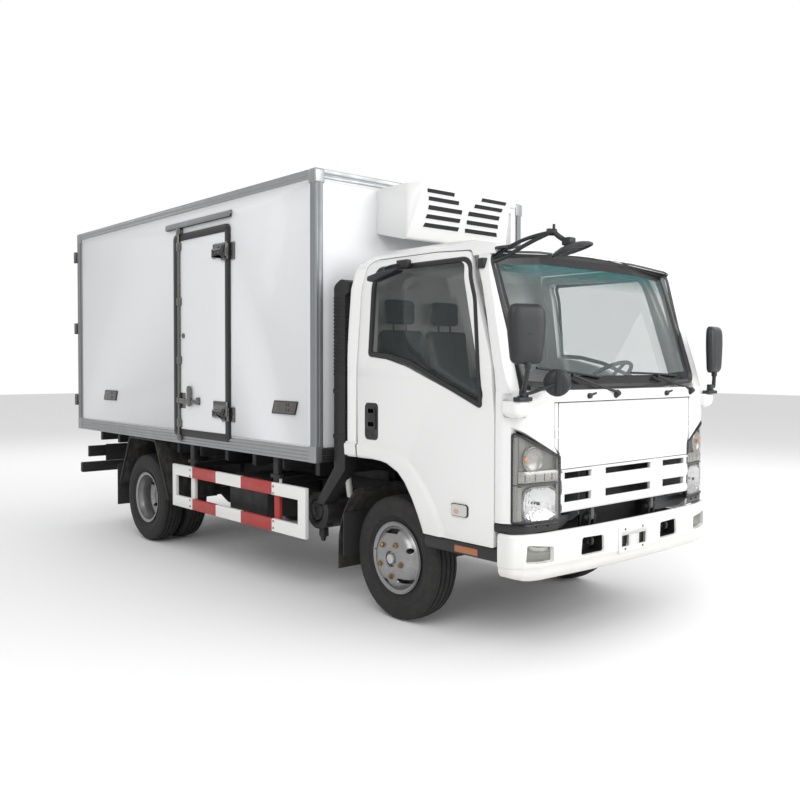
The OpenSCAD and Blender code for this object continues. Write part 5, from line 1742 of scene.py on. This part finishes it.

# Pale lining boards on the back wall, and sun visors under the roof
boards = [block("wall_lining", place(-0.80, 0.3480, 1.32), place(0.80, 0.3560, 1.50), 0.002)]
for x in (-0.50, 0.42):
    boards.append(
        block("sun_visor", place(x - 0.21, -0.720, 2.150), place(x + 0.21, -0.560, 2.164), 0.006, 3)
    )
dress(fuse("cab_lining_boards", boards), lining, "cab")
two_tone = Finish("cab_wall_two_tone", (0.8, 0.8, 0.79), Roughness=0.4)
across = two_tone.along("X")
inside = (two_tone.along("Y") < 0.3665 - AXLE_TO_MIDDLE) * (across > -0.84) * (across < 0.84)
two_tone.feed("Base Color", two_tone.blend(inside, (0.80, 0.80, 0.79), (0.20, 0.212, 0.215)))
two_tone.feed("Roughness", two_tone.span(inside, 0.0, 1.0, 0.3, 0.8))
node["cab_rear_wall"].data.materials[0] = two_tone.material


# The insulated box is framed by ribbed aluminium extrusions. Grey corner
# posts with dark joints and cast caps hold the smooth white panels.
corner_paint = Finish("corner_post_paint", (0.24, 0.25, 0.262), Roughness=0.42, Metallic=0.6)
corner_paint.patchy(0.36, 0.55, 9.0, 4.0)
FRONT, REAR, HALF, FOOT, TOP = 0.659, 4.80, 1.015, 0.931, 2.891


def ribbed(low, high, ridges, deep):
    line = [(low, 0.0), (low, deep * 0.7)]
    step = (high - low) / ridges
    for k in range(ridges):
        base = low + step * k
        line += [
            (base + step * 0.10, deep), (base + step * 0.62, deep), (base + step * 0.74, deep * 0.45),
            (base + step * 0.90, deep * 0.45)
        ]
    line += [(high, deep * 0.7), (high, 0.0)]
    return line


for side, word in SIDES:
    rails = []
    for name, low, high, ridges in (
        ("foot", FOOT + 0.002, FOOT + 0.100, 4), ("head", TOP - 0.066, TOP - 0.004, 2)
    ):
        outline = [(side * (HALF + reach), z) for z, reach in ribbed(low, high, ridges, 0.010)]
        rails.append(
            slab(
                f"{name}_rail", outline, "Y", place(0, FRONT + 0.05, 0).y, place(0, REAR - 0.03, 0).y,
                0.0008, 1
            )
        )
    dress(fuse(f"box_side_rails_{word}", rails), aluminium, "chassis")
    posts = []
    outline = [
        (0.965, 0.659), (0.965, 0.650), (0.990, 0.650), (0.9925, 0.6535), (0.9955, 0.6535),
        (0.998, 0.650), (1.012, 0.652), (1.022, 0.662), (1.0245, 0.676), (1.021, 0.679), (1.021, 0.682),
        (1.0245, 0.685), (1.0245, 0.708), (1.015, 0.710)
    ]
    posts.append(
        slab(
            "front_post", [(side * x, y - AXLE_TO_MIDDLE) for x, y in outline], "Z", FOOT + 0.012,
            TOP - 0.085, 0.0010, 1
        )
    )
    outline = [
        (1.015, 4.735), (1.0245, 4.737), (1.0245, 4.760), (1.021, 4.763), (1.021, 4.766), (1.0245, 4.769),
        (1.0245, 4.796), (1.015, 4.799)
    ]
    posts.append(
        slab(
            "rear_post", [(side * x, y - AXLE_TO_MIDDLE) for x, y in outline], "Z", FOOT + 0.012,
            TOP - 0.085, 0.0010, 1
        )
    )
    dress(fuse(f"box_corner_posts_{word}", posts), corner_paint, "chassis")
    caps = []
    for y0, y1 in ((0.647, 0.730), (4.715, 4.8015)):
        caps.append(side_block("cap", side, (0.945, 1.027), (y0, y1), (TOP - 0.098, TOP + 0.0), 0.012, 4))
        caps.append(
            side_block(
                "foot_cap", side, (0.975, 1.0268), (y0, y1), (FOOT - 0.001, FOOT + 0.112), 0.008, 3
            )
        )
    dress(fuse(f"box_corner_castings_{word}", caps), aluminium, "chassis")
# The ribbed front foot rail is aluminium like the side rails, but it is given the black chassis finish:
# painted shade under the front of the box.
outline = [(0.652 - reach * 0.5, z) for z, reach in ribbed(FOOT + 0.002, FOOT + 0.092, 5, 0.010)]
front_rail_painted_shade = slab(
    "box_front_rail",
    [(y - AXLE_TO_MIDDLE, z) for y, z in [(0.662, FOOT + 0.002)] + outline + [(0.662, FOOT + 0.092)]],
    "X", -0.972, 0.972, 0.0008, 1
)
dress(front_rail_painted_shade, chassis_black, "chassis")
head = slab(
    "box_front_head_rail",
    [
        (y - AXLE_TO_MIDDLE, z)
        for y, z in (
            (0.664, 2.828), (0.652, 2.830), (0.650, 2.846), (0.655, 2.850), (0.655, 2.856),
            (0.650, 2.860), (0.652, 2.886), (0.664, 2.888)
        )
    ],
    "X", -0.95, 0.95, 0.0008, 1
)
dress(head, aluminium, "chassis")
roof_trim = []
for y in (0.72, 4.74):
    roof_trim.append(
        block(
            "roof_strip", place(-0.94, y - 0.045, TOP - 0.004), place(0.94, y + 0.045, TOP + 0.0), 0.0015,
            1
        )
    )
dress(fuse("box_roof_strips", roof_trim), aluminium, "chassis")

# Cable cover on the front face, from the roof rail down toward the frame.
cover = [
    block("cover_head", place(0.782, 0.600, 2.842), place(0.898, 0.655, 2.885), 0.010, 3),
    block("cover_run", place(0.846, 0.634, 1.02), place(0.888, 0.6595, 2.850), 0.006, 3),
]
for z in (1.30, 1.85, 2.40):
    cover.append(block("cover_clip", place(0.838, 0.632, z), place(0.896, 0.6590, z + 0.030), 0.003, 2))
dress(fuse("box_front_conduit", cover), panel_white, "chassis")


# The insulated side door shuts into a frame with a dark rubber gasket. Strap
# hinges, a locking rod with cams and a steel lever are bolted on its face.
OUTER = rounded(
    [(1.776, 1.010, 0.030), (2.654, 1.010, 0.030), (2.654, 2.640, 0.030), (1.776, 2.640, 0.030)]
)
steel_bright = Finish("polished_steel", (0.17, 0.168, 0.16), Metallic=0.9, Roughness=0.26)
steel_bright.patchy(0.18, 0.34, 14.0, 5.0, (1, 1, 6))


def on_box(side):
    return lambda y, z, lift: Vector((side * (HALF + lift), y - AXLE_TO_MIDDLE, z))


hollow_painted_shade = []


def strap(name, side, y0, y1, z0, z1, base):
    zc, half = (z0 + z1) / 2, (z1 - z0) / 2
    outline = rounded(
        [
            (y0, zc - half, 0.004), (y0 + (y1 - y0) * 0.30, zc - half, 0.010),
            (y0 + (y1 - y0) * 0.42, zc - half * 0.55, 0.010), (y1, zc - half * 0.55, 0.012),
            (y1, zc + half * 0.55, 0.012), (y0 + (y1 - y0) * 0.42, zc + half * 0.55, 0.010),
            (y0 + (y1 - y0) * 0.30, zc + half, 0.010), (y0, zc + half, 0.004),
        ]
    )
    parts = [
        slab(
            name, [(p.x - AXLE_TO_MIDDLE, p.y) for p in outline], "X", side * base, side * (base + 0.006),
            0.0015, 2
        )
    ]
    # The hollow in each strap is a thin dark slab on its face: painted shade in the recess.
    hollow = [(p.x - AXLE_TO_MIDDLE, p.y) for p in inset(outline, 0.016)]
    hollow_painted_shade.append(
        slab("hollow", hollow, "X", side * (base + 0.0055), side * (base + 0.0075), 0.0006, 1)
    )
    for share in (0.52, 0.72):
        y = y0 + (y1 - y0) * share
        parts.append(
            rod(
                "bolt", place(side * (base + 0.004), y, zc), place(side * (base + 0.010), y, zc), 0.0085,
                0.003, 24
            )
        )
    return parts


door_face = 1.019
gasket = band(
    "side_door_gasket", fine(OUTER, 0.25),
    [
        (-0.014, 0.001), (-0.013, 0.017), (-0.008, 0.0205), (0.036, 0.0205), (0.041, 0.0175),
        (0.044, 0.0175), (0.046, 0.003)
    ],
    on_box(-1), (-1, 0, 0),
)
dress(gasket, rubber_seal, "box_side_door")
hardware = []
for z0, z1 in ((2.377, 2.508), (1.150, 1.262)):
    hit, spot, *_ = node["side_door"].ray_cast(
        Vector((-2.0, place(0, 1.84, 0).y, (z0 + z1) / 2)), Vector((1, 0, 0))
    )
    hardware += strap(
        "strap", -1, 1.785, 2.010, z0, z1, max(door_face, -spot.x + 0.0005) if hit else door_face
    )
    hardware.append(
        rod(
            "knuckle", place(-1.0385, 1.769, z0 + 0.006), place(-1.0385, 1.769, z1 - 0.006), 0.0105,
            0.002, 28
        )
    )
hardware.append(
    rod("lock_rod", place(-1.036, 2.560, 0.965), place(-1.036, 2.560, 2.690), 0.0105, 0.002, 24)
)
for z in (1.10, 1.62, 2.10, 2.55):
    hardware.append(
        block("rod_guide", place(-1.050, 2.532, z - 0.030), place(-1.018, 2.588, z + 0.030), 0.006, 3)
    )
    for y in (2.540, 2.580):
        hardware.append(rod("screw", place(-1.048, y, z), place(-1.052, y, z), 0.005, 0.001, 16))
hardware.append(block("lever_plate", place(-1.030, 2.470, 1.225), place(-1.018, 2.598, 1.354), 0.006, 3))
hardware.append(
    slab(
        "grip",
        [
            (y - AXLE_TO_MIDDLE, z)
            for y, z in (
                (2.345, 1.262), (2.345, 1.395), (2.360, 1.412), (2.385, 1.412), (2.400, 1.395),
                (2.400, 1.262), (2.385, 1.246), (2.360, 1.246)
            )
        ],
        "X", -1.060, -1.040, 0.005, 3
    )
)
hardware.append(
    slab(
        "lever",
        [
            (y - AXLE_TO_MIDDLE, z)
            for y, z in (
                (2.590, 1.270), (2.590, 1.312), (2.480, 1.308), (2.290, 1.300), (2.222, 1.296),
                (2.217, 1.283), (2.222, 1.272), (2.480, 1.264)
            )
        ],
        "X", -1.052, -1.036, 0.005, 3
    )
)
hardware.append(
    rod("lever_pin", place(-1.018, 2.562, 1.291), place(-1.054, 2.562, 1.291), 0.016, 0.003, 28)
)
hardware.append(block("lever_catch", place(-1.050, 2.225, 1.262), place(-1.018, 2.262, 1.322), 0.005, 3))
hardware.append(
    rod("release_knob", place(-1.018, 2.500, 1.820), place(-1.040, 2.500, 1.820), 0.020, 0.006, 32)
)
dress(fuse("side_door_hardware", hardware), steel_bright, "box_side_door")
# The dark hinge hollows are painted shade.
dress(fuse("side_door_hinge_hollow_shade", hollow_painted_shade), rubber_seal, "box_side_door")
brackets = []
for z0, z1 in ((2.377, 2.508), (1.150, 1.262)):
    brackets.append(block("hinge_leaf", place(-1.024, 1.700, z0), place(-1.0155, 1.752, z1), 0.002, 2))
    for z in (z0 + 0.022, z1 - 0.022):
        brackets.append(rod("bolt", place(-1.022, 1.722, z), place(-1.029, 1.722, z), 0.0085, 0.002, 20))
for z in (0.985, 2.672):
    brackets.append(
        block("keeper", place(-1.050, 2.530, z - 0.026), place(-1.0155, 2.590, z + 0.026), 0.005, 3)
    )
dress(fuse("side_door_keepers", brackets), steel_bright, "chassis")
gutter = slab(
    "side_door_gutter",
    [
        (-1.0150, 2.752), (-1.030, 2.750), (-1.0385, 2.742), (-1.0400, 2.704), (-1.0370, 2.702),
        (-1.0350, 2.716), (-1.026, 2.722), (-1.0150, 2.724)
    ],
    "Y", place(0, 1.740, 0).y, place(0, 2.800, 0).y, 0.0006, 1,
)
dress(gutter, corner_paint, "chassis")
# A black block fills the channel under the gutter: painted shade beneath the drip edge.
gutter_painted_shade = block("side_door_gutter_painted_shade", place(-1.0365, 1.745, 2.700), place(-1.0155, 2.795, 2.722), 0.002, 1)
dress(gutter_painted_shade, chassis_black, "chassis")


# Marker lamps with smoked lenses sit in dark rubber bezels along each side.
smoked = Finish("smoked_marker_lens", (0.055, 0.048, 0.045), Roughness=0.25, Coat_Weight=0.5)
fluted = smoked.ripple("Y", 420.0)
smoked.bump(fluted, 0.001, 0.4)
for side, word in SIDES:
    bezels, lenses = [], []
    for y0, y1 in ((0.862, 1.192), (3.846, 4.162)):
        line = rounded(
            [
                (y0 + 0.036, 1.242, 0.004), (y1, 1.242, 0.004), (y1 - 0.036, 1.336, 0.004),
                (y0, 1.336, 0.004)
            ]
        )
        bezels.append(
            band(
                "bezel", fine(line, 0.2),
                [(0.0, 0.0), (0.001, 0.006), (0.004, 0.008), (0.008, 0.007), (0.010, 0.002)],
                on_box(side), (side, 0, 0)
            )
        )
        middle = Vector(((y0 + y1) / 2, 1.289))
        rows = []
        for share, lift in ((0.95, 0.001), (0.95, 0.0055), (0.92, 0.0068), (0.5, 0.0072), (0.02, 0.0072)):
            rows.append([on_box(side)(*(middle + (p - middle) * share), lift) for p in fine(line, 0.03)])
        lenses.append(sheet("marker", rows, (side, 0, 0), closed=True))
        for y in (y0 + 0.10, y0 + 0.13):
            for z in (1.262, 1.300):
                bezels.append(
                    side_block(
                        "marker_clip", side, (HALF, (HALF + 0.0085)), (y, y + 0.012), (z, z + 0.020),
                        0.001
                    )
                )
    dress(fuse(f"marker_lamp_bezels_{word}", bezels), rubber_seal, "chassis")
    dress(fuse(f"marker_lamp_lenses_{word}", lenses), smoked, "chassis")


# Two full-height rear doors carry four strap hinges each, and a pair of
# locking rods with levers across the middle.
for side, word in SIDES:
    line = rounded(
        [(0.014, 0.955, 0.02), (0.985, 0.955, 0.02), (0.985, 2.868, 0.02), (0.014, 2.868, 0.02)]
    )
    edge = band(
        f"rear_door_seal_{word}", fine(line, 0.25),
        [(0.0, 0.0), (0.001, 0.007), (0.010, 0.010), (0.022, 0.007), (0.024, 0.001)], lambda x, z, lift,
        s=side: Vector((s * x, REAR + lift - AXLE_TO_MIDDLE, z)), (0, 1, 0),
    )
    dress(edge, rubber_seal, f"box_rear_door_{word}")
    parts = []
    for x in (0.115, 0.640):
        parts.append(
            rod(
                "rod", place(side * x, REAR + 0.020, 0.985), place(side * x, REAR + 0.020, 2.850), 0.0115,
                0.002, 24
            )
        )
        for z in (1.02, 1.45, 2.05, 2.50, 2.82):
            parts.append(
                block(
                    "guide", place(side * x - 0.032, REAR + 0.001, z - 0.028),
                    place(side * x + 0.032, REAR + 0.034, z + 0.028), 0.006, 3
                )
            )
        parts.append(
            slab(
                "handle",
                [
                    (side * (x + dx), z)
                    for dx, z in (
                        (-0.018, 1.318), (-0.018, 1.282), (0.10, 1.288), (0.30, 1.290), (0.318, 1.300),
                        (0.30, 1.312), (0.10, 1.312)
                    )
                ],
                "Y", place(0, REAR + 0.026, 0).y, place(0, REAR + 0.040, 0).y, 0.004, 3
            )
        )
        parts.append(
            block(
                "catch", place(side * (x + 0.255) - 0.020, REAR + 0.001, 1.262),
                place(side * (x + 0.255) + 0.020, REAR + 0.034, 1.334), 0.005, 3
            )
        )
    for z in (1.12, 1.62, 2.12, 2.66):
        outline = rounded(
            [
                (0.80, z - 0.020, 0.012), (0.93, z - 0.020, 0.01), (0.95, z - 0.042, 0.01),
                (1.004, z - 0.042, 0.004), (1.004, z + 0.042, 0.004), (0.95, z + 0.042, 0.01),
                (0.93, z + 0.020, 0.01), (0.80, z + 0.020, 0.012)
            ]
        )
        parts.append(
            slab(
                "strap", [(side * p.x, p.y) for p in outline], "Y", place(0, REAR + 0.001, 0).y,
                place(0, REAR + 0.008, 0).y, 0.0015, 2
            )
        )
        for x in (0.83, 0.88, 0.965):
            parts.append(
                rod(
                    "bolt", place(side * x, REAR + 0.006, z), place(side * x, REAR + 0.012, z), 0.008,
                    0.002, 20
                )
            )
    dress(fuse(f"rear_door_hardware_{word}", parts), steel_bright, f"box_rear_door_{word}")


# The evaporator cover stands on the front wall of the box. Ten slanted air
# slots in two columns are dark sheets laid on its face: painted shade in the
# openings, over the dark core behind them.
def unit_face(x, z, lift=0.0):
    hit, spot, normal, _ = node["refrigeration_unit"].ray_cast(Vector((x, -3.0, z)), Vector((0, 1, 0)))
    if not hit:
        return Vector((x, 0.36 - AXLE_TO_MIDDLE - lift, z)), Vector((0, -1, 0))
    return spot + normal * lift, normal


slats, frames = [], []
ROWS = [
    (2.779, 0.028, 0.397, 0.135), (2.731, 0.030, 0.372, 0.078), (2.676, 0.033, 0.355, 0.030),
    (2.617, 0.032, 0.352, 0.028), (2.560, 0.032, 0.356, 0.026)
]
for side in (-1, 1):
    for k, (z1, high, outer, inner) in enumerate(ROWS):
        z0 = z1 - high
        lean = (0.010, 0.010, 0.002, -0.012, -0.016)[k]
        corners = [
            (side * outer, z1), (side * inner, z1), (side * (inner - lean * 0.5), z0),
            (side * (outer - lean), z0)
        ]
        face = []
        for share in (0.0, 1.0):
            row = []
            for step in range(9):
                t = step / 8
                a = Vector(corners[0]).lerp(Vector(corners[3]), share)
                b = Vector(corners[1]).lerp(Vector(corners[2]), share)
                spot = a.lerp(b, t)
                row.append(unit_face(spot.x, spot.y, 0.0015)[0])
            face.append(row)
        slats.append(sheet("slot_painted_shade", face, (0, -1, 0)))
        ring = rounded([(c[0], c[1], 0.006) for c in corners], 3)
        frames.append(
            band(
                "slot_rim", fine(ring, 0.06),
                [(-0.005, 0.0), (-0.004, 0.003), (0.0, 0.0035), (0.002, 0.0012)], lambda x, z,
                lift: unit_face(x, z, lift)[0], (0, -1, 0)
            )
        )
# Near-black slot sheets: painted shade in the openings over the dark core.
slot_painted_shade = Finish("air_slot_dark", (0.012, 0.012, 0.013), Roughness=0.7)
core = slot_painted_shade.ripple("X", 900.0)
slot_painted_shade.bump(core, 0.0015, 0.6)
dress(fuse("refrigeration_unit_slots", slats), slot_painted_shade, "chassis")
dress(fuse("refrigeration_unit_slot_rims", frames), panel_white, "chassis")

floor_finish_box = Finish("box_floor_two_tone", (0.6, 0.61, 0.62), Roughness=0.5)
under = floor_finish_box.along("Z") < 0.9305
floor_finish_box.feed(
    "Base Color", floor_finish_box.blend(under, (0.60, 0.61, 0.62), (0.010, 0.010, 0.011))
)
floor_finish_box.patchy(0.45, 0.7, 9.0, 5.0)
node["box_floor"].data.materials[0] = floor_finish_box.material


# The doors of the box are white panels with bare steel bars, keepers and
# hinge leaves standing off them.
SIDE_DOOR_FACE = -1.0285
REAR_DOOR_FACE = 4.799 + 0.0025 - AXLE_TO_MIDDLE
for name, axis in (("side_door", "X"), ("rear_door_left", "Y"), ("rear_door_right", "Y")):
    mixed = Finish(f"{name}_finish", (0.77, 0.78, 0.80), Roughness=0.45)
    signal = mixed.along(axis)
    raised = signal < SIDE_DOOR_FACE if axis == "X" else signal > REAR_DOOR_FACE
    mixed.feed("Base Color", mixed.blend(raised, (0.77, 0.78, 0.80), (0.17, 0.168, 0.16)))
    mixed.feed("Metallic", mixed.span(raised, 0.0, 1.0, 0.0, 0.9))
    mixed.feed("Roughness", mixed.span(raised + mixed.noise(7.0, 4.0) * 0.1, 0.0, 1.1, 0.50, 0.26))
    node[name].data.materials[0] = mixed.material


# Underride guards between the axles: two painted planks a side in red and
# white, on folded brackets hung from the frame.
guard_paint = Finish("side_guard_paint", (0.80, 0.80, 0.78), Roughness=0.42)
ahead = guard_paint.along("Y")
red = (
    ahead > 1.247 - AXLE_TO_MIDDLE
) * (ahead < 1.679 - AXLE_TO_MIDDLE) + (ahead > 2.061 - AXLE_TO_MIDDLE) * (ahead < 2.448 - AXLE_TO_MIDDLE)
stripes = guard_paint.blend(red, (0.80, 0.80, 0.78), (0.40, 0.030, 0.026))
across = guard_paint.along("X")
inboard = (across > -0.940) * (across < 0.940)
guard_paint.feed("Base Color", guard_paint.blend(inboard, stripes, (0.010, 0.010, 0.011)))
guard_paint.patchy(0.34, 0.55, 7.0, 4.0)
node["side_guards"].data.materials[0] = guard_paint.material
for side, word in SIDES:
    parts = []
    for y in (1.225, 2.485):
        parts.append(
            side_block("hanger", side, (0.930, 0.965), (y - 0.032, y + 0.032), (0.700, 0.925), 0.004, 2)
        )
        parts.append(
            side_block("hook", side, (0.930, 0.972), (y - 0.060, y + 0.060), (0.772, 0.800), 0.004, 2)
        )
    dress(fuse(f"side_guard_hangers_{word}", parts), chassis_black, "chassis")
    parts = []
    for y in (1.225, 2.485):
        for z in (0.415, 0.465, 0.665, 0.715):
            parts.append(
                rod("bolt", place(side * 0.984, y, z), place(side * 0.991, y, z), 0.009, 0.002, 20)
            )
    dress(fuse(f"side_guard_bolts_{word}", parts), aluminium, "chassis")


# Rear mudguards of black plastic with a tube along the edge, and rubber
# flaps that hang behind the front and rear wheels.
flap_rubber = Finish("flap_rubber", (0.020, 0.020, 0.021), Roughness=0.75)
flap_rubber.bump(flap_rubber.noise(90.0, 6.0), 0.004, 0.6)
for side, word in SIDES:
    parts = [
        side_block("rear_flap", side, (0.66, 0.985), (3.930, 3.940), (0.255, 0.640), 0.003, 2),
        side_block("front_flap", side, (0.72, 0.935), (0.452, 0.464), (0.330, 0.620), 0.003, 2),
    ]
    dress(fuse(f"mud_flaps_{word}", parts), flap_rubber, "chassis")


# Air cleaner with a ribbed end cap, spring clips and a rubber dust valve, a
# corrugated intake duct, and the white neck of the washer bottle.
cap = [
    (0.001, 0.0), (0.030, 0.0), (0.034, -0.006), (0.060, -0.006), (0.064, 0.002), (0.080, 0.002),
    (0.084, -0.006), (0.102, -0.006), (0.112, 0.004), (0.118, 0.014), (0.124, 0.016), (0.124, 0.030),
    (0.119, 0.032), (0.119, 0.140), (0.110, 0.141), (0.001, 0.141)
]
cleaner = [lathe("cleaner_cap", cap, place(-0.902, 0.800, 0.585), "X", 64, 30.0)]
for k in range(4):
    angle = math.radians(45 + 90 * k)
    c, d = math.cos(angle), math.sin(angle)
    cleaner.append(
        block(
            "clip", place(-0.892, 0.800 + 0.122 * c - 0.012, 0.585 + 0.122 * d - 0.012),
            place(-0.842, 0.800 + 0.122 * c + 0.012, 0.585 + 0.122 * d + 0.012), 0.003
        )
    )
cleaner.append(
    lathe(
        "dust_valve",
        [
            (0.001, -0.215), (0.014, -0.215), (0.020, -0.190), (0.030, -0.172), (0.030, -0.150),
            (0.026, -0.110), (0.001, -0.108)
        ],
        place(-0.850, 0.800, 0.585), "Z", 32, 30.0
    )
)
dress(fuse("air_cleaner_cap", cleaner), black_plastic, "chassis")
ribs_list = []
for k in range(22):
    z = 1.52 + 0.024 * k
    ribs_list.append(
        block("duct_rib", place(-0.929, 0.451, z), place(-0.831, 0.579, z + 0.010), 0.004, 2)
    )
for z in (1.10, 1.40):
    ribs_list.append(
        block("duct_clip", place(-0.930, 0.450, z), place(-0.830, 0.580, z + 0.030), 0.003, 2)
    )
dress(fuse("intake_duct_ribs", ribs_list), black_plastic, "chassis")
bottle = Finish("washer_bottle_white", (0.62, 0.62, 0.58), Roughness=0.5)
bottle.patchy(0.4, 0.6, 30.0, 4.0)
neck = [
    rod("neck", place(-0.80, 0.560, 0.70), place(-0.842, 0.540, 0.862), 0.021, 0.004, 28),
    rod("neck_cap", place(-0.840, 0.541, 0.856), place(-0.850, 0.536, 0.892), 0.030, 0.006, 28)
]
dress(fuse("washer_bottle_neck", neck), bottle, "chassis")

# Tube edging along the rear mudguards
for side, word in SIDES:
    run = [(2.858, 0.425), (3.098, 0.906), (3.125, 0.920), (3.610, 0.920), (3.636, 0.906), (3.850, 0.478)]
    tube = pipe("mudguard_tube", [place(side * 0.992, y, z) for y, z in run], 0.011, 5)
    dress(fuse(f"mudguard_edge_{word}", [tube]), chassis_black, "chassis")
plate = [block("rear_cross_plate", place(-0.77, 4.735, 0.590), place(0.77, 4.741, 0.760), 0.003)]
for side in (-1, 1):
    plate.append(side_block("bar_end_cap", side, (0.996, 1.004), (4.755, 4.802), (0.490, 0.580), 0.003))
dress(fuse("rear_cross_plate", plate), chassis_black, "chassis")

# Rear lamp clusters under the tail of the box
tail_red = Finish("tail_lamp_red", (0.42, 0.012, 0.010), Roughness=0.15, Coat_Weight=0.8)
prisms = tail_red.ripple("Z", 900.0)
tail_red.bump(prisms, 0.0008, 0.4)
tail_amber = Finish("tail_lamp_amber", (0.60, 0.16, 0.015), Roughness=0.15, Coat_Weight=0.8)
prisms = tail_amber.ripple("Z", 900.0)
tail_amber.bump(prisms, 0.0008, 0.4)
for side, word in SIDES:
    base = side_block("tail_base", side, (0.56, 0.94), (4.741, 4.775), (0.640, 0.750), 0.006, 3)
    dress(fuse(f"tail_lamp_base_{word}", [base]), black_plastic, "chassis")
    reds = [
        side_block("tail_red", side, (a, b), (4.770, 4.786), (0.650, 0.740), 0.005, 3)
        for a, b in ((0.572, 0.680), (0.815, 0.928))
    ]
    dress(fuse(f"tail_lamp_red_{word}", reds), tail_red, "chassis")
    ambers = side_block("tail_amber", side, (0.688, 0.807), (4.770, 4.786), (0.650, 0.740), 0.005, 3)
    dress(fuse(f"tail_lamp_amber_{word}", [ambers]), tail_amber, "chassis")


# Inner posts of the side guards, set back behind the rails, and road dust on
# the flaps and mudguards
guard_red = Finish("guard_red", (0.40, 0.030, 0.026), Roughness=0.45)
guard_red.patchy(0.38, 0.55, 9.0, 4.0)
for side, word in SIDES:
    for y, look, label in ((1.222, guard_red, "front"), (2.488, white_paint, "rear")):
        post = side_block("post", side, (0.932, 0.958), (y - 0.034, y + 0.034), (0.452, 0.690), 0.004, 2)
        dress(fuse(f"side_guard_post_{label}_{word}", [post]), look, "chassis")
flap_dust = Finish("dusty_flap", (0.015, 0.015, 0.015), Roughness=0.8)
streaks = flap_dust.noise(26.0, 8.0, (1.0, 1.0, 0.35))
flap_dust.feed(
    "Base Color",
    flap_dust.blend(
        flap_dust.span(streaks, 0.42, 0.68, 0.0, 1.0), (0.012, 0.012, 0.012), (0.060, 0.055, 0.046)
    )
)
flap_dust.feed("Roughness", flap_dust.span(streaks, 0.3, 0.7, 0.6, 0.9))
node["mudguards"].data.materials[0] = flap_dust.material
